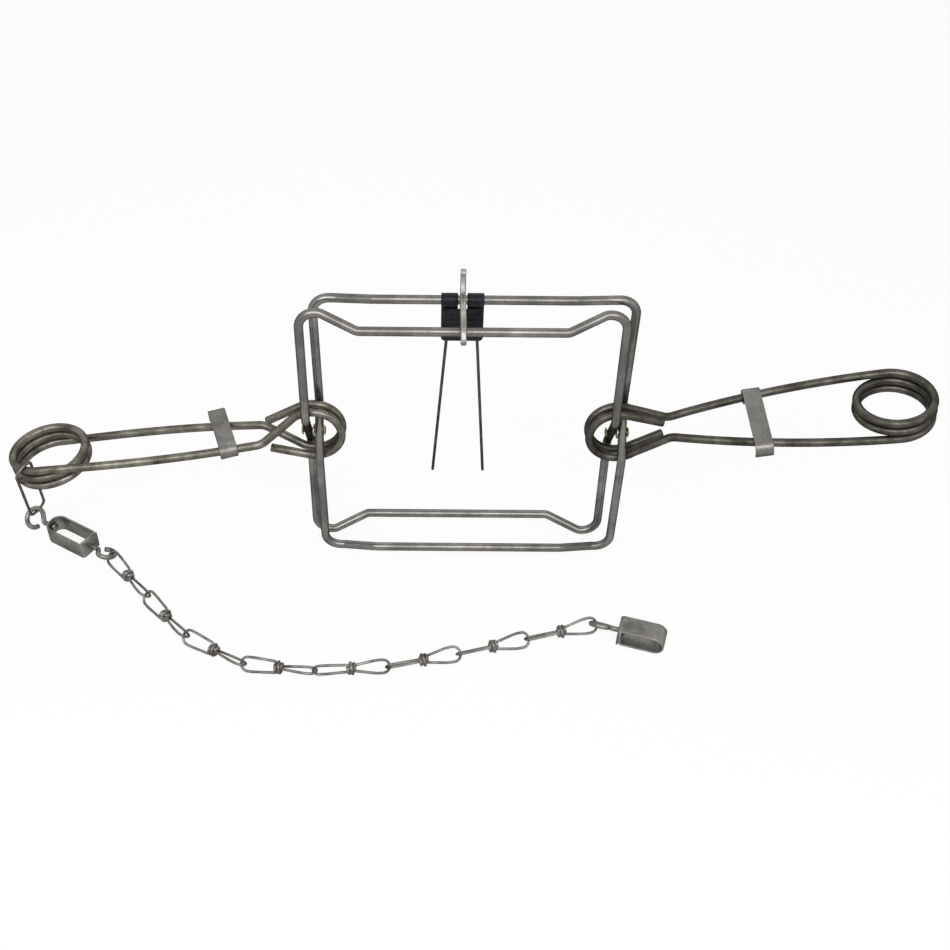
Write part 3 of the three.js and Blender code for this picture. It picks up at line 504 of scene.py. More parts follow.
# Materials
WHITE = (1, 1, 1, 1)
RAMP_MIDDLE = 0.5
# Metals grow darker where they turn away, as oiled steel does.
EDGE_TINT = (0.14, 0.135, 0.13, 1)
# Noise scales are per metre, and each noise has its detail and its roughness.
BROAD_NOISE = (5.0, 0.6)
LINE_STRETCH = (25.0, 900.0, 1.0)
LINE_SCALE = 3.0
LINE_NOISE = (4.0, 0.6)
PIT_SCALE = 900.0
PIT_NOISE = (3.0, 0.5)
RUST_SCALE = 140.0
RUST_NOISE = (6.0, 0.7)
# Where each ramp's colours lie on its noise
TONE_STOPS = (0.3, 0.5, 0.74)
LINE_RAMP = [(0.35, (0.62, 0.62, 0.62)), (0.6, (1.12, 1.12, 1.12))]
PIT_RAMP = [(0.42, (0.72, 0.7, 0.68)), (0.55, (1.0, 1.0, 1.0))]
PIT_SHARE = 0.55
RUST_RAMP = [(0.56, (0, 0, 0)), (0.68, (1, 1, 1))]
GLOSS_STOPS = (0.3, 0.7)
TARNISH_ROUGHER = 0.14
WEAR_SMOOTHER = 0.1
LEAST_ROUGHNESS = 0.08
BUMP_PIT_SHARE = 0.5
BUMP_DISTANCE = 0.00035


def new_material(name):
    material = bpy.data.materials.new(name)
    material.use_nodes = True
    tree = material.node_tree
    shader = tree.nodes["Principled BSDF"]
    return material, tree, shader


def node(tree, kind, **values):
    made = tree.nodes.new(kind)
    for key, value in values.items():
        if key in made.inputs:
            made.inputs[key].default_value = value
        else:
            setattr(made, key, value)
    return made


def ramp(tree, source, stops):
    made = tree.nodes.new("ShaderNodeValToRGB")
    elements = made.color_ramp.elements
    while len(elements) < len(stops):
        elements.new(RAMP_MIDDLE)
    for element, (position, colour) in zip(elements, stops):
        element.position = position
        element.color = (*colour, 1)
    tree.links.new(source, made.inputs["Fac"])
    return made.outputs["Color"]


def mix(tree, kind, factor, first, second):
    """A colour from two, where a factor or a colour is a value or another node's output."""
    made = tree.nodes.new("ShaderNodeMix")
    made.data_type = "RGBA"
    made.blend_type = kind
    if isinstance(factor, float):
        made.inputs["Factor"].default_value = factor
    else:
        tree.links.new(factor, made.inputs["Factor"])
    for socket, value in (("A", first), ("B", second)):
        target = [s for s in made.inputs if s.name == socket and s.type == "RGBA"][0]
        if isinstance(value, tuple):
            target.default_value = (*value, 1)
        else:
            tree.links.new(value, target)
    return [s for s in made.outputs if s.type == "RGBA"][0]


def noise(tree, vector, scale, detail, roughness):
    made = node(tree, "ShaderNodeTexNoise", Scale=scale, Detail=detail, Roughness=roughness)
    tree.links.new(vector, made.inputs["Vector"])
    return made.outputs["Fac"]


def stretched(tree, vector, scale):
    made = tree.nodes.new("ShaderNodeMapping")
    made.inputs["Scale"].default_value = scale
    tree.links.new(vector, made.inputs["Vector"])
    return made.outputs["Vector"]


def worn_metal(name, base, dark, light, rough, metallic, blotch, streaks, rust=None, bump=0.25):
    """A metal with broad tarnish, fine drawing lines along the piece, small pits and brighter wear."""
    material, tree, shader = new_material(name)
    coordinates = tree.nodes.new("ShaderNodeTexCoord")
    inside = coordinates.outputs["Object"]
    along = stretched(tree, coordinates.outputs["UV"], LINE_STRETCH)
    broad = noise(tree, inside, blotch, *BROAD_NOISE)
    pits = noise(tree, inside, PIT_SCALE, *PIT_NOISE)
    lines = noise(tree, along, LINE_SCALE, *LINE_NOISE)
    colour = ramp(tree, broad, list(zip(TONE_STOPS, (dark, base, light))))
    colour = mix(tree, "MULTIPLY", streaks, colour, ramp(tree, lines, LINE_RAMP))
    colour = mix(tree, "MULTIPLY", PIT_SHARE, colour, ramp(tree, pits, PIT_RAMP))
    if rust:
        patches = noise(tree, inside, RUST_SCALE, *RUST_NOISE)
        colour = mix(tree, "MIX", ramp(tree, patches, RUST_RAMP), colour, rust)
    tree.links.new(colour, shader.inputs["Base Color"])
    ends = (rough + TARNISH_ROUGHER, max(LEAST_ROUGHNESS, rough - WEAR_SMOOTHER))
    gloss = ramp(tree, broad, [(stop, (end,) * 3) for stop, end in zip(GLOSS_STOPS, ends)])
    tree.links.new(gloss, shader.inputs["Roughness"])
    shader.inputs["Metallic"].default_value = metallic
    shader.inputs["Specular Tint"].default_value = EDGE_TINT
    height = mix(tree, "MIX", BUMP_PIT_SHARE, lines, pits)
    bumps = node(tree, "ShaderNodeBump", Strength=bump, Distance=BUMP_DISTANCE)
    tree.links.new(height, bumps.inputs["Height"])
    tree.links.new(bumps.outputs["Normal"], shader.inputs["Normal"])
    return material


JAW_STEEL = worn_metal(
    "jaw_steel",
    base=(0.18, 0.173, 0.163),
    dark=(0.12, 0.115, 0.107),
    light=(0.28, 0.271, 0.258),
    rough=0.27,
    metallic=0.96,
    blotch=40.0,
    streaks=0.2,
    bump=0.14,
)
SPRING_COLOURS = {
    "base": (0.155, 0.146, 0.124),
    "dark": (0.066, 0.06, 0.05),
    "light": (0.31, 0.292, 0.255),
    "rust": (0.12, 0.09, 0.066),
}
# The right spring's copy of the steel is darker: painted shade, not a different metal.
SPRING_PAINTED_SHADE = {"left": 1.0, "right": 0.54}


def spring_steel(side):
    """Oil-darkened wire with rust, and painted shade on the right spring, whose copy is darker."""
    painted_shade = SPRING_PAINTED_SHADE[side]
    colours = {use: tuple(painted_shade * part for part in colour) for use, colour in SPRING_COLOURS.items()}
    return worn_metal(
        f"spring_steel_{side}",
        rough=0.38,
        metallic=0.88,
        blotch=70.0,
        streaks=0.55,
        **colours,
    )


SPRING_STEELS = {side: spring_steel(side) for side in ("left", "right")}
CLIP_STEEL = worn_metal(
    "clip_steel",
    base=(0.205, 0.198, 0.186),
    dark=(0.15, 0.146, 0.138),
    light=(0.27, 0.262, 0.247),
    rough=0.36,
    metallic=0.9,
    blotch=50.0,
    streaks=0.35,
    bump=0.15,
)
BLACK_SHEET = worn_metal(
    "black_sheet",
    base=(0.018, 0.018, 0.023),
    dark=(0.009, 0.009, 0.012),
    light=(0.034, 0.034, 0.045),
    rough=0.36,
    metallic=0.4,
    blotch=60.0,
    streaks=0.3,
)
DOG_STEEL = worn_metal(
    "dog_steel",
    base=(0.36, 0.35, 0.32),
    dark=(0.22, 0.21, 0.19),
    light=(0.5, 0.49, 0.45),
    rough=0.36,
    metallic=0.9,
    blotch=90.0,
    streaks=0.35,
)
TRIGGER_STEEL = worn_metal(
    "trigger_steel",
    base=(0.07, 0.07, 0.065),
    dark=(0.035, 0.035, 0.035),
    light=(0.14, 0.135, 0.13),
    rough=0.45,
    metallic=0.8,
    blotch=90.0,
    streaks=0.4,
)
RIVET_BRASS = worn_metal(
    "rivet_brass",
    base=(0.42, 0.36, 0.2),
    dark=(0.26, 0.22, 0.13),
    light=(0.6, 0.54, 0.34),
    rough=0.34,
    metallic=0.95,
    blotch=120.0,
    streaks=0.2,
)
WASHER_STEEL = worn_metal(
    "washer_steel",
    base=(0.45, 0.44, 0.42),
    dark=(0.3, 0.3, 0.28),
    light=(0.6, 0.59, 0.56),
    rough=0.32,
    metallic=0.95,
    blotch=120.0,
    streaks=0.2,
)
CHAIN_STEEL = worn_metal(
    "chain_steel",
    base=(0.205, 0.194, 0.181),
    dark=(0.1, 0.092, 0.084),
    light=(0.33, 0.313, 0.295),
    rough=0.38,
    metallic=0.88,
    blotch=90.0,
    streaks=0.4,
)
STRAP_STEEL = worn_metal(
    "strap_steel",
    base=(0.24, 0.232, 0.216),
    dark=(0.15, 0.144, 0.134),
    light=(0.34, 0.33, 0.31),
    rough=0.42,
    metallic=0.88,
    blotch=60.0,
    streaks=0.35,
)


# Jaws
def jaw_corners(lean):
    depth = lean * BAR_DEPTH
    corner = lean * CORNER_DEPTH
    knee = lean * JOG_DEPTH
    half = JAW_HALF
    right = [
        (Vector((half - BAR_RAMP_HIGH, depth, BAR_HEIGHT)), BAR_RAMP_RADIUS),
        (Vector((half - BAR_RAMP_LOW, corner, half)), BAR_RAMP_RADIUS),
        (Vector((half, corner, half)), CORNER_RADIUS),
        (Vector((half, knee, JOG_HEIGHT)), JOG_RADIUS),
        (Vector((half, -knee, -JOG_HEIGHT)), JOG_RADIUS),
        (Vector((half, -corner, -half)), CORNER_RADIUS),
        (Vector((half - BAR_RAMP_LOW, -corner, -half)), BAR_RAMP_RADIUS),
        (Vector((half - BAR_RAMP_HIGH, -depth, -BAR_HEIGHT)), BAR_RAMP_RADIUS),
    ]
    left = [(Vector((-at.x, at.y, at.z)), bend) for at, bend in reversed(right)]
    return right + left


def make_jaw(cad_node, body, lean):
    """One closed rod, where lean is -1 for the jaw whose upper bar is in front and 1 for the other."""
    shift = Vector((lean * JAW_SIDE_STEP / 2, 0, 0))
    points = [point + shift for point in rounded(jaw_corners(lean), True)]
    profile = circle(ROD_RADIUS, ROD_SIDES)
    rod = sweep(f"{cad_node}_rod", points, profile, JAW_STEEL, is_closed=True, side=Y_AXIS)
    dress(rod, body, cad_node)


make_jaw("jaw_front_top", "front_jaw", -1)
make_jaw("jaw_rear_top", "rear_jaw", 1)


# Pivots
def make_rivet(side, matrix):
    face = JAW_SIDE_STEP / 2 + SOLID_ROD_RADIUS + CLEARANCE
    profile = [
        (face, RIVET_SHANK_RADIUS),
        (face, RIVET_HEAD_RADIUS * RIVET_FACE_SHARE),
        (face + RIVET_HEAD_EDGE, RIVET_HEAD_RADIUS),
    ]
    for angle in RIVET_CROWN_ANGLES:
        profile.append((face + RIVET_HEAD_HEIGHT * math.sin(angle), RIVET_HEAD_RADIUS * math.cos(angle)))
    profile.append((face + RIVET_HEAD_HEIGHT, 0))
    mirrored = [(-along, radius) for along, radius in reversed(profile)]
    rivet = lathe(f"{side}_rivet_turned", mirrored + profile, matrix, RIVET_BRASS)
    dress(rivet, "pivots", f"{side}_rivet")


def make_washer(side, matrix):
    rim = WASHER_RADIUS - WASHER_EDGE
    flat = WASHER_HALF - WASHER_EDGE
    profile = [
        (-WASHER_HALF, WASHER_HOLE_RADIUS),
        (-WASHER_HALF, rim),
        (-flat, WASHER_RADIUS),
        (flat, WASHER_RADIUS),
        (WASHER_HALF, rim),
        (WASHER_HALF, WASHER_HOLE_RADIUS),
        (-WASHER_HALF, WASHER_HOLE_RADIUS),
    ]
    washer = lathe(f"{side}_washer_turned", profile, matrix, WASHER_STEEL)
    dress(washer, "pivots", f"{side}_washer")


for side, sign in (("left", -1), ("right", 1)):
    pivot_matrix = Matrix.Translation((sign * HALF_SPAN, 0, 0))
    make_rivet(side, pivot_matrix)
    make_washer(side, pivot_matrix)

# Springs
EYE_TOUCH = math.acos(EYE_RADIUS / NECK)
EYE_END_REACH = math.hypot(EYE_END, EYE_END_HEIGHT)
EYE_TAIL = math.atan2(EYE_END_HEIGHT, EYE_END) + math.acos(EYE_RADIUS / EYE_END_REACH)
ARM_START = EYE_RADIUS * math.cos(EYE_TOUCH)
NECK_SHARE = (NECK - ARM_START) / (COIL_DISTANCE - ARM_START)
NECK_SPREAD_SHARE = (NECK_HALF_SPREAD - EYE_PLANE) / (COIL_RADIUS - EYE_PLANE)
ARM_BOW = math.log(1 - NECK_SPREAD_SHARE) / math.log(1 - NECK_SHARE)


def arm_spread(distance):
    """How far an arm is from the spring's middle plane, at a distance from the pivot."""
    share = max(0, (distance - ARM_START) / (COIL_DISTANCE - ARM_START))
    return EYE_PLANE + (COIL_RADIUS - EYE_PLANE) * (1 - (1 - share) ** ARM_BOW)


def arm_drop(distance):
    """How far the front arm is below the spring's level, and the rear arm above it."""
    share = (distance - NECK) / (COIL_DISTANCE - NECK)
    return COIL_HALF_HEIGHT * (1 - (1 - share) ** ARM_DROP_BEND)


def spring_side(side):
    """A spring's own axes, X from the pivot to the coil."""
    sign = -1 if side == "left" else 1
    turn = Matrix.Rotation(math.pi if side == "left" else 0, 4, "Z")
    swing = Matrix.Rotation(-sign * SPRING_SWING, 4, "Y")
    return Matrix.Translation((sign * HALF_SPAN, 0, 0)) @ turn @ swing


def front_arm():
    """The eye from the wire's cut end, the run to the neck and the arm up to the coil."""
    points = [Vector((EYE_END, -EYE_PLANE, EYE_END_HEIGHT))]
    for i in range(EYE_STEPS + 1):
        angle = EYE_TAIL + (FULL_TURN - EYE_TAIL - EYE_TOUCH) * i / EYE_STEPS
        points.append(Vector((EYE_RADIUS * math.cos(angle), -EYE_PLANE, EYE_RADIUS * math.sin(angle))))
    low = points[-1]
    corners = [
        (Vector((low.x, 0, low.z)), 0),
        (Vector((NECK, 0, 0)), NECK_RADIUS),
        (Vector((COIL_DISTANCE, 0, -COIL_HALF_HEIGHT)), 0),
    ]
    bend = rounded(corners, False)[1:-1]
    run = [low.lerp(bend[0], share) for share in LEAD_SHARES]
    run += bend
    start = bend[-1].x
    for i in range(1, ARM_STEPS):
        distance = start + (COIL_DISTANCE - start) * i / ARM_STEPS
        run.append(Vector((distance, 0, -arm_drop(distance))))
    return points + [Vector((point.x, -arm_spread(point.x), point.z)) for point in run]


def coil_point(turned):
    angle = turned - QUARTER_TURN
    x = COIL_DISTANCE + COIL_RADIUS * math.cos(angle)
    y = COIL_RADIUS * math.sin(angle)
    return Vector((x, y, COIL_PITCH * turned / FULL_TURN - COIL_HALF_HEIGHT))


def make_spring(side):
    front = front_arm()
    rear = [Vector((point.x, -point.y, -point.z)) for point in reversed(front)]
    coil_steps = int(COIL_TURNS * COIL_TURN_STEPS)
    coil = [coil_point(FULL_TURN * i / COIL_TURN_STEPS) for i in range(coil_steps + 1)]
    wire = sweep(
        f"{side}_spring_wire",
        front + coil + rear,
        circle(WIRE_RADIUS, ROD_SIDES),
        SPRING_STEELS[side],
        chamfer=WIRE_CHAMFER,
        matrix=spring_side(side),
    )
    dress(wire, f"{side}_spring", f"{side}_spring")


make_spring("left")
make_spring("right")


# Safety clips
def rear_arm_point(distance):
    return Vector((distance, arm_spread(distance), arm_drop(distance)))


def clip_matrix(side):
    """A clip's own axes: X along the rear arm in its curl, Y towards the front arm."""
    distance = CLIP_AT[side]
    nudge = 2 * SOLID_WIRE_RADIUS
    rear = rear_arm_point(distance)
    front = Vector((distance, -arm_spread(distance), -arm_drop(distance)))
    along = (rear_arm_point(distance - nudge) - rear_arm_point(distance + nudge)).normalized()
    across = front - rear
    across = (across - along * across.dot(along)).normalized()
    up = along.cross(across)
    skew = Matrix.Rotation(CLIP_SKEWS[side], 3, up)
    basis = Matrix((skew @ along, skew @ across, up)).transposed().to_4x4()
    return spring_side(side) @ Matrix.Translation(rear) @ basis


def make_clip(side):
    radius = SOLID_WIRE_RADIUS + CLIP_PLAY + CLIP_THICKNESS / 2
    line = arc((0, 0), radius, QUARTER_TURN + CLIP_CURL, QUARTER_TURN)
    line += arc((CLIP_REACH, 0), radius, QUARTER_TURN, 0)
    drop = (CLIP_REACH + radius, -CLIP_HOOK_DROP)
    lip = (
        drop[0] - CLIP_LIP * math.sin(CLIP_LIP_ANGLE),
        drop[1] - CLIP_LIP * math.cos(CLIP_LIP_ANGLE),
    )
    clip = sweep(
        f"{side}_clip_strip",
        [Vector((0, y, z)) for y, z in line + [drop, lip]],
        rounded_rectangle(CLIP_WIDTH, CLIP_THICKNESS - CLIP_INSET, STRIP_CORNER),
        CLIP_STEEL,
        side=X_AXIS,
        chamfer=STRIP_CHAMFER,
        matrix=clip_matrix(side),
    )
    dress(clip, f"{side}_clip", f"{side}_clip")


make_clip("left")
make_clip("right")

# Trigger
SEAT_MATRIX = Matrix.Translation(TRIGGER_SEAT)
BRACKET_HALF = BRACKET_WIDTH / 2
BRACKET_JOIN = -BRACKET_SLOT_DEPTH - BRACKET_JOIN_DROP


def bracket_lobe(sign):
    """A strip bent round the rod beside the slot, whose ends hang down between the sheets."""
    bend = ROD_RADIUS + CLEARANCE + BRACKET_PLAY + BRACKET_SHEET / 2
    seam = math.asin(BRACKET_SHEET / 2 / bend)
    ring = arc((0, 0), bend, -QUARTER_TURN - seam, seam - QUARTER_TURN - FULL_TURN)
    line = [(-BRACKET_SHEET / 2, BRACKET_JOIN), *ring, (BRACKET_SHEET / 2, BRACKET_JOIN)]
    middle = sign * (BRACKET_HALF + BRACKET_SLOT / 2) / 2
    points = [Vector((middle, y, z)) for y, z in line]
    strip = rounded_rectangle(BRACKET_HALF - BRACKET_SLOT / 2, BRACKET_SHEET, BRACKET_EDGE)
    return sweep("lobe", points, strip, BLACK_SHEET, side=X_AXIS, matrix=SEAT_MATRIX)


def bracket_sheets():
    """The two sheets that lie on each other, with the slot for the dog."""
    half = BRACKET_HALF
    slot = BRACKET_SLOT / 2
    top = BRACKET_JOIN + BRACKET_LAP
    corner = BRACKET_CORNER
    low = corner - BRACKET_DROP
    outline = [
        *arc((corner - half, low), corner, math.pi, FULL_TURN - QUARTER_TURN),
        *arc((half - corner, low), corner, -QUARTER_TURN, 0),
        (half, top),
        (slot, top),
        (slot, -BRACKET_SLOT_DEPTH),
        (-slot, -BRACKET_SLOT_DEPTH),
        (-slot, top),
        (-half, top),
    ]
    upright = SEAT_MATRIX @ Matrix.Rotation(QUARTER_TURN, 4, "X")
    return plate("sheets", outline, 2 * BRACKET_SHEET, upright, BLACK_SHEET, BRACKET_EDGE)


def bracket_tube():
    """The tube that the trigger wires turn in."""
    half = BRACKET_HALF
    end = BRACKET_TUBE_RADIUS - BRACKET_TUBE_EDGE
    flat = half - BRACKET_TUBE_EDGE
    profile = [
        (-half, 0),
        (-half, end),
        (-flat, BRACKET_TUBE_RADIUS),
        (flat, BRACKET_TUBE_RADIUS),
        (half, end),
        (half, 0),
    ]
    at = SEAT_MATRIX @ Matrix.Translation((0, 0, -PIN_PIVOT_DROP))
    return lathe("tube", profile, at, BLACK_SHEET)


def bracket_rib(drop):
    end = BRACKET_HALF - RIB_INSET
    points = [Vector((x, -BRACKET_SHEET, -drop)) for x in (-end, end)]
    profile = circle(RIB_RADIUS, THIN_SIDES)
    return sweep("rib", points, profile, BLACK_SHEET, chamfer=RIB_CHAMFER, matrix=SEAT_MATRIX)


def make_bracket():
    pieces = [bracket_lobe(-1), bracket_lobe(1), bracket_sheets(), bracket_tube()]
    pieces += [bracket_rib(drop) for drop in RIB_DROPS]
    dress(joined("trigger_bracket_sheet", pieces), "rear_jaw", "trigger_bracket")


def make_trigger_wires():
    half = PIN_PIVOT_SPAN / 2
    left, right = PIN_SPREADS
    corners = [
        (Vector((-half - left, 0, -math.sqrt(PIN_LENGTH**2 - left**2))), 0),
        (Vector((-half, 0, 0)), PIN_BEND),
        (Vector((half, 0, 0)), PIN_BEND),
        (Vector((half + right, 0, -math.sqrt(PIN_LENGTH**2 - right**2))), 0),
    ]
    hanging = Matrix.Translation((0, 0, -PIN_PIVOT_DROP)) @ Matrix.Rotation(PIN_LEAN, 4, "X")
    wire = sweep(
        "trigger_wire_pair",
        rounded(corners, False),
        circle(PIN_RADIUS, WIRE_SIDES),
        TRIGGER_STEEL,
        side=Y_AXIS,
        chamfer=PIN_CHAMFER,
        matrix=SEAT_MATRIX @ hanging,
    )
    dress(wire, "trigger_wires", "trigger_wires")


def make_dog():
    """A plate with an eye on the rear bar, a ramp and a notch on the front bar, and a tail."""
    catch = -2 * BAR_DEPTH
    seat = SOLID_ROD_RADIUS + CLEARANCE
    crest = (catch - seat * math.sin(DOG_RAMP), seat * math.cos(DOG_RAMP))
    nose = catch - DOG_NOSE
    nose_low = crest[1] - (crest[0] - nose) * math.tan(DOG_RAMP)
    heel = catch + seat
    arm_top = seat + DOG_ARM_HEIGHT
    arm_low = SOLID_ROD_RADIUS - DOG_HEEL
    tail = DOG_TAIL_WIDTH / 2
    outline = [
        (nose, nose_low),
        crest,
        *arc((catch, 0), seat, QUARTER_TURN, 0),
        (heel, arm_low),
        (heel + DOG_HEEL, arm_low),
        *arc((0, 0), DOG_EYE_RADIUS, DOG_EYE_START, FULL_TURN),
        (tail, DOG_EYE_RADIUS),
        *arc((0, DOG_TAIL - tail), tail, 0, math.pi),
        (-tail, DOG_EYE_RADIUS + DOG_SHOULDER),
        (-DOG_EYE_RADIUS, arm_top),
        (catch, arm_top),
        (nose, nose_low + DOG_HEEL),
    ]
    hole = circle(seat, DOG_HOLE_SIDES)[::-1]
    # The outline's first axis points to the rear and its second one up.
    standing = Matrix(((0, 0, 1, 0), (1, 0, 0, 0), (0, 1, 0, 0), (0, 0, 0, 1)))
    matrix = SEAT_MATRIX @ standing
    dog = plate("dog_plate", outline, DOG_THICKNESS, matrix, DOG_STEEL, DOG_EDGE, [hole])
    dress(dog, "dog", "dog")


make_bracket()
make_trigger_wires()
make_dog()


# Chain
def laid(at, heading, roll=0, pitch=0):
    """The place of a piece on the floor. Its point's height is from the floor."""
    turn = Matrix.Rotation(heading, 4, "Z") @ Matrix.Rotation(pitch, 4, "Y") @ Matrix.Rotation(roll, 4, "X")
    return Matrix.Translation(at - Vector((0, 0, PIVOT_HEIGHT))) @ turn


def heading_vector(heading):
    return Vector((math.cos(heading), math.sin(heading), 0))


def link_height(roll):
    reach = (LINK_WIDTH - LINK_WIRE) / 2
    return reach * max(abs(math.sin(roll)), abs(math.cos(roll))) + LINK_WIRE / 2 + CLEARANCE


def link_loop(name, matrix, has_root):
    """A loop of wire from the knot, where a root spreads it at once and without one it opens slowly."""
    end = LINK_PITCH / 2 + LINK_WIRE / 2 + CLEARANCE / 2
    half = (LINK_WIDTH - LINK_WIRE) / 2
    upper = [
        (Vector((LINK_TAIL_AT, KNOT_CORE, 0)), LINK_TAIL_BEND),
        (Vector((LINK_ROOT_AT, LINK_ROOT / 2, 0)), LINK_ROOT_BEND),
        (Vector((LINK_WIDEST, half, 0)), LINK_SIDE_BEND),
        (Vector((end, half, 0)), LINK_BEND),
    ]
    if not has_root:
        del upper[1]
    lower = [(Vector((at.x, -at.y, 0)), bend) for at, bend in reversed(upper)]
    return sweep(
        name,
        rounded(upper + lower, True, LINK_STEP),
        circle(LINK_WIRE / 2, THIN_SIDES),
        CHAIN_STEEL,
        is_closed=True,
        side=Z_AXIS,
        matrix=matrix,
    )


def knot_wrap(name, matrix):
    """The wire's turns round the middle of a link, which start and end inside it."""
    steps = int(KNOT_TURNS * KNOT_TURN_STEPS)
    points = []
    for i in range(steps + 1):
        angle = KNOT_TURNS * FULL_TURN * i / steps
        ease = min(1, i / KNOT_EASE_STEPS, (steps - i) / KNOT_EASE_STEPS)
        radius = KNOT_CORE + (KNOT_WRAP - KNOT_CORE) * ease
        x = KNOT_WIRE_PITCH * KNOT_TURNS * (i / steps - 1 / 2)
        points.append(Vector((x, radius * math.cos(angle), radius * math.sin(angle))))
    profile = circle(KNOT_WIRE, THIN_SIDES)
    return sweep(name, points, profile, CHAIN_STEEL, chamfer=KNOT_CHAMFER, matrix=matrix)


def knot_barrel(name, matrix):
    profile = [
        (-BARREL_HALF, 0),
        (-BARREL_HALF, BARREL_END_RADIUS),
        (-BARREL_PLAIN_HALF, BARREL_RADIUS),
        (BARREL_PLAIN_HALF, BARREL_RADIUS),
        (BARREL_HALF, BARREL_END_RADIUS),
        (BARREL_HALF, 0),
    ]
    return lathe(name, profile, matrix, CHAIN_STEEL)


def make_link(number, matrix):
    name = f"link_{number}"
    pieces = [
        link_loop(f"{name}_ahead", matrix @ Matrix.Rotation(QUARTER_TURN, 4, "X"), False),
        link_loop(f"{name}_behind", matrix @ Matrix.Rotation(math.pi, 4, "Z"), True),
        knot_wrap(f"{name}_knot", matrix),
        knot_barrel(f"{name}_knot_core", matrix),
    ]
    cad_node = f"chain_link_{number}"
    dress(joined(f"{name}_wire", pieces), cad_node, cad_node)


def make_chain():
    """Lays the links from the left swivel on, and gives the point where the last one ends."""
    at = CHAIN_START.copy()
    last = len(LINK_HEADINGS) - 1
    for i, (heading, roll) in enumerate(zip(LINK_HEADINGS, LINK_ROLLS)):
        step = heading_vector(heading) * LINK_PITCH
        height = link_height(roll)
        near = SWIVEL_STRAP / 2 if i == 0 else height
        far = END_HEIGHT / 2 if i == last else height
        middle = at + step / 2 + Vector((0, 0, (near + far) / 2))
        pitch = math.asin((near - far) / LINK_PITCH)
        make_link(i + 1, laid(middle, heading, roll, pitch))
        at += step
    return at


CHAIN_END = make_chain()


# Swivels
def strap_loop(name, body, length, height, strap, sheet, end_radius, matrix):
    """A strap bent round into a loop, whose ends lie on each other at its flat end, +X."""
    half = height / 2 - sheet / 2
    left = -length / 2 + sheet / 2
    outer = length / 2 - sheet / 2
    inner = outer - sheet - SHEET_INSET
    bend = sheet * STRAP_BEND_SHARE
    round_end = end_radius - sheet / 2
    corners = [
        (Vector((outer, 0, -half - sheet * OUTER_LAP_SHARE)), 0),
        (Vector((outer, 0, half)), bend),
        (Vector((left, 0, half)), round_end),
        (Vector((left, 0, -half)), round_end),
        (Vector((inner, 0, -half)), bend),
        (Vector((inner, 0, half - sheet * INNER_LAP_SHARE)), 0),
    ]
    piece = sweep(
        name,
        rounded(corners, False),
        rounded_rectangle(strap - STRAP_INSET, sheet - SHEET_INSET, STRIP_CORNER),
        STRAP_STEEL,
        side=Y_AXIS,
        chamfer=STRIP_CHAMFER,
        matrix=matrix,
    )
    dress(piece, body, body)


def bolt_wire(name, radius, face, matrix):
    """The shank from inside the head, and the open eye round the matrix's own middle."""
    back = face - HEAD_HEIGHT / 2
    middle = back * (1 - SHANK_MIDDLE_SHARE) - radius * SHANK_MIDDLE_SHARE
    neck = (-radius - BOLT_NECK_FAR, -radius - BOLT_NECK_NEAR)
    points = [Vector((x, 0, 0)) for x in (back, middle, *neck)]
    turn = BOLT_EYE_SWEEP - BOLT_EYE_START
    for i in range(BOLT_EYE_STEPS + 1):
        angle = math.pi + BOLT_EYE_START + turn * i / BOLT_EYE_STEPS
        points.append((radius - BOLT_INSET) * Vector((math.cos(angle), math.sin(angle), 0)))
    profile = circle(SHANK_RADIUS - BOLT_INSET, ROD_SIDES)
    return sweep(name, smoothed(points), profile, CHAIN_STEEL, chamfer=BOLT_CHAMFER, matrix=matrix)


def bolt_head(name, face, matrix):
    back = face - HEAD_HEIGHT
    profile = [
        (face, 0),
        (face, HEAD_RADIUS - HEAD_EDGE),
        (face - HEAD_EDGE, HEAD_RADIUS),
        (back + HEAD_CROWN, HEAD_RADIUS),
        (back + HEAD_TOP, HEAD_RADIUS * HEAD_TOP_SHARE),
        (back, 0),
    ]
    return lathe(name, profile, matrix, CHAIN_STEEL)


def eye_bolt(name, body, radius, distance, wall, matrix):
    """A wire bent into an open eye in the XY plane, with its shank towards -X and a head behind the wall."""
    face = -distance - wall - CLEARANCE
    pieces = [bolt_wire(name, radius, face, matrix), bolt_head(f"{name}_head", face, matrix)]
    dress(joined(name, pieces), body, body)


def make_left_swivel():
    """The strap box and its two eye bolts. Gives the place of the eye that the coil's ring goes through."""
    along = heading_vector(SWIVEL_HEADING)
    height = Vector((0, 0, SWIVEL_STRAP / 2))
    chain_eye = CHAIN_START - along * (CHAIN_EYE_RADIUS - SHANK_RADIUS - CLEARANCE) + height
    middle = chain_eye - along * (CHAIN_EYE_DISTANCE + SWIVEL_LENGTH / 2)
    ring_eye = middle - along * (SWIVEL_LENGTH / 2 + RING_EYE_DISTANCE)
    strap_loop(
        "swivel_box_strap",
        "swivel_box",
        SWIVEL_LENGTH,
        SWIVEL_WIDTH,
        SWIVEL_STRAP,
        SWIVEL_SHEET,
        SWIVEL_END_RADIUS,
        laid(middle, SWIVEL_HEADING, QUARTER_TURN),
    )
    eye_bolt(
        "swivel_chain_eye_wire",
        "swivel_chain_eye",
        CHAIN_EYE_RADIUS,
        CHAIN_EYE_DISTANCE,
        2 * SWIVEL_SHEET,
        laid(chain_eye, SWIVEL_HEADING, CHAIN_EYE_ROLL),
    )
    far = laid(ring_eye, SWIVEL_HEADING + math.pi, RING_EYE_TILT)
    eye_bolt(
        "swivel_ring_eye_wire",
        "swivel_ring_eye",
        RING_EYE_RADIUS,
        RING_EYE_DISTANCE,
        SWIVEL_SHEET + SHANK_PLAY,
        far,
    )
    return far


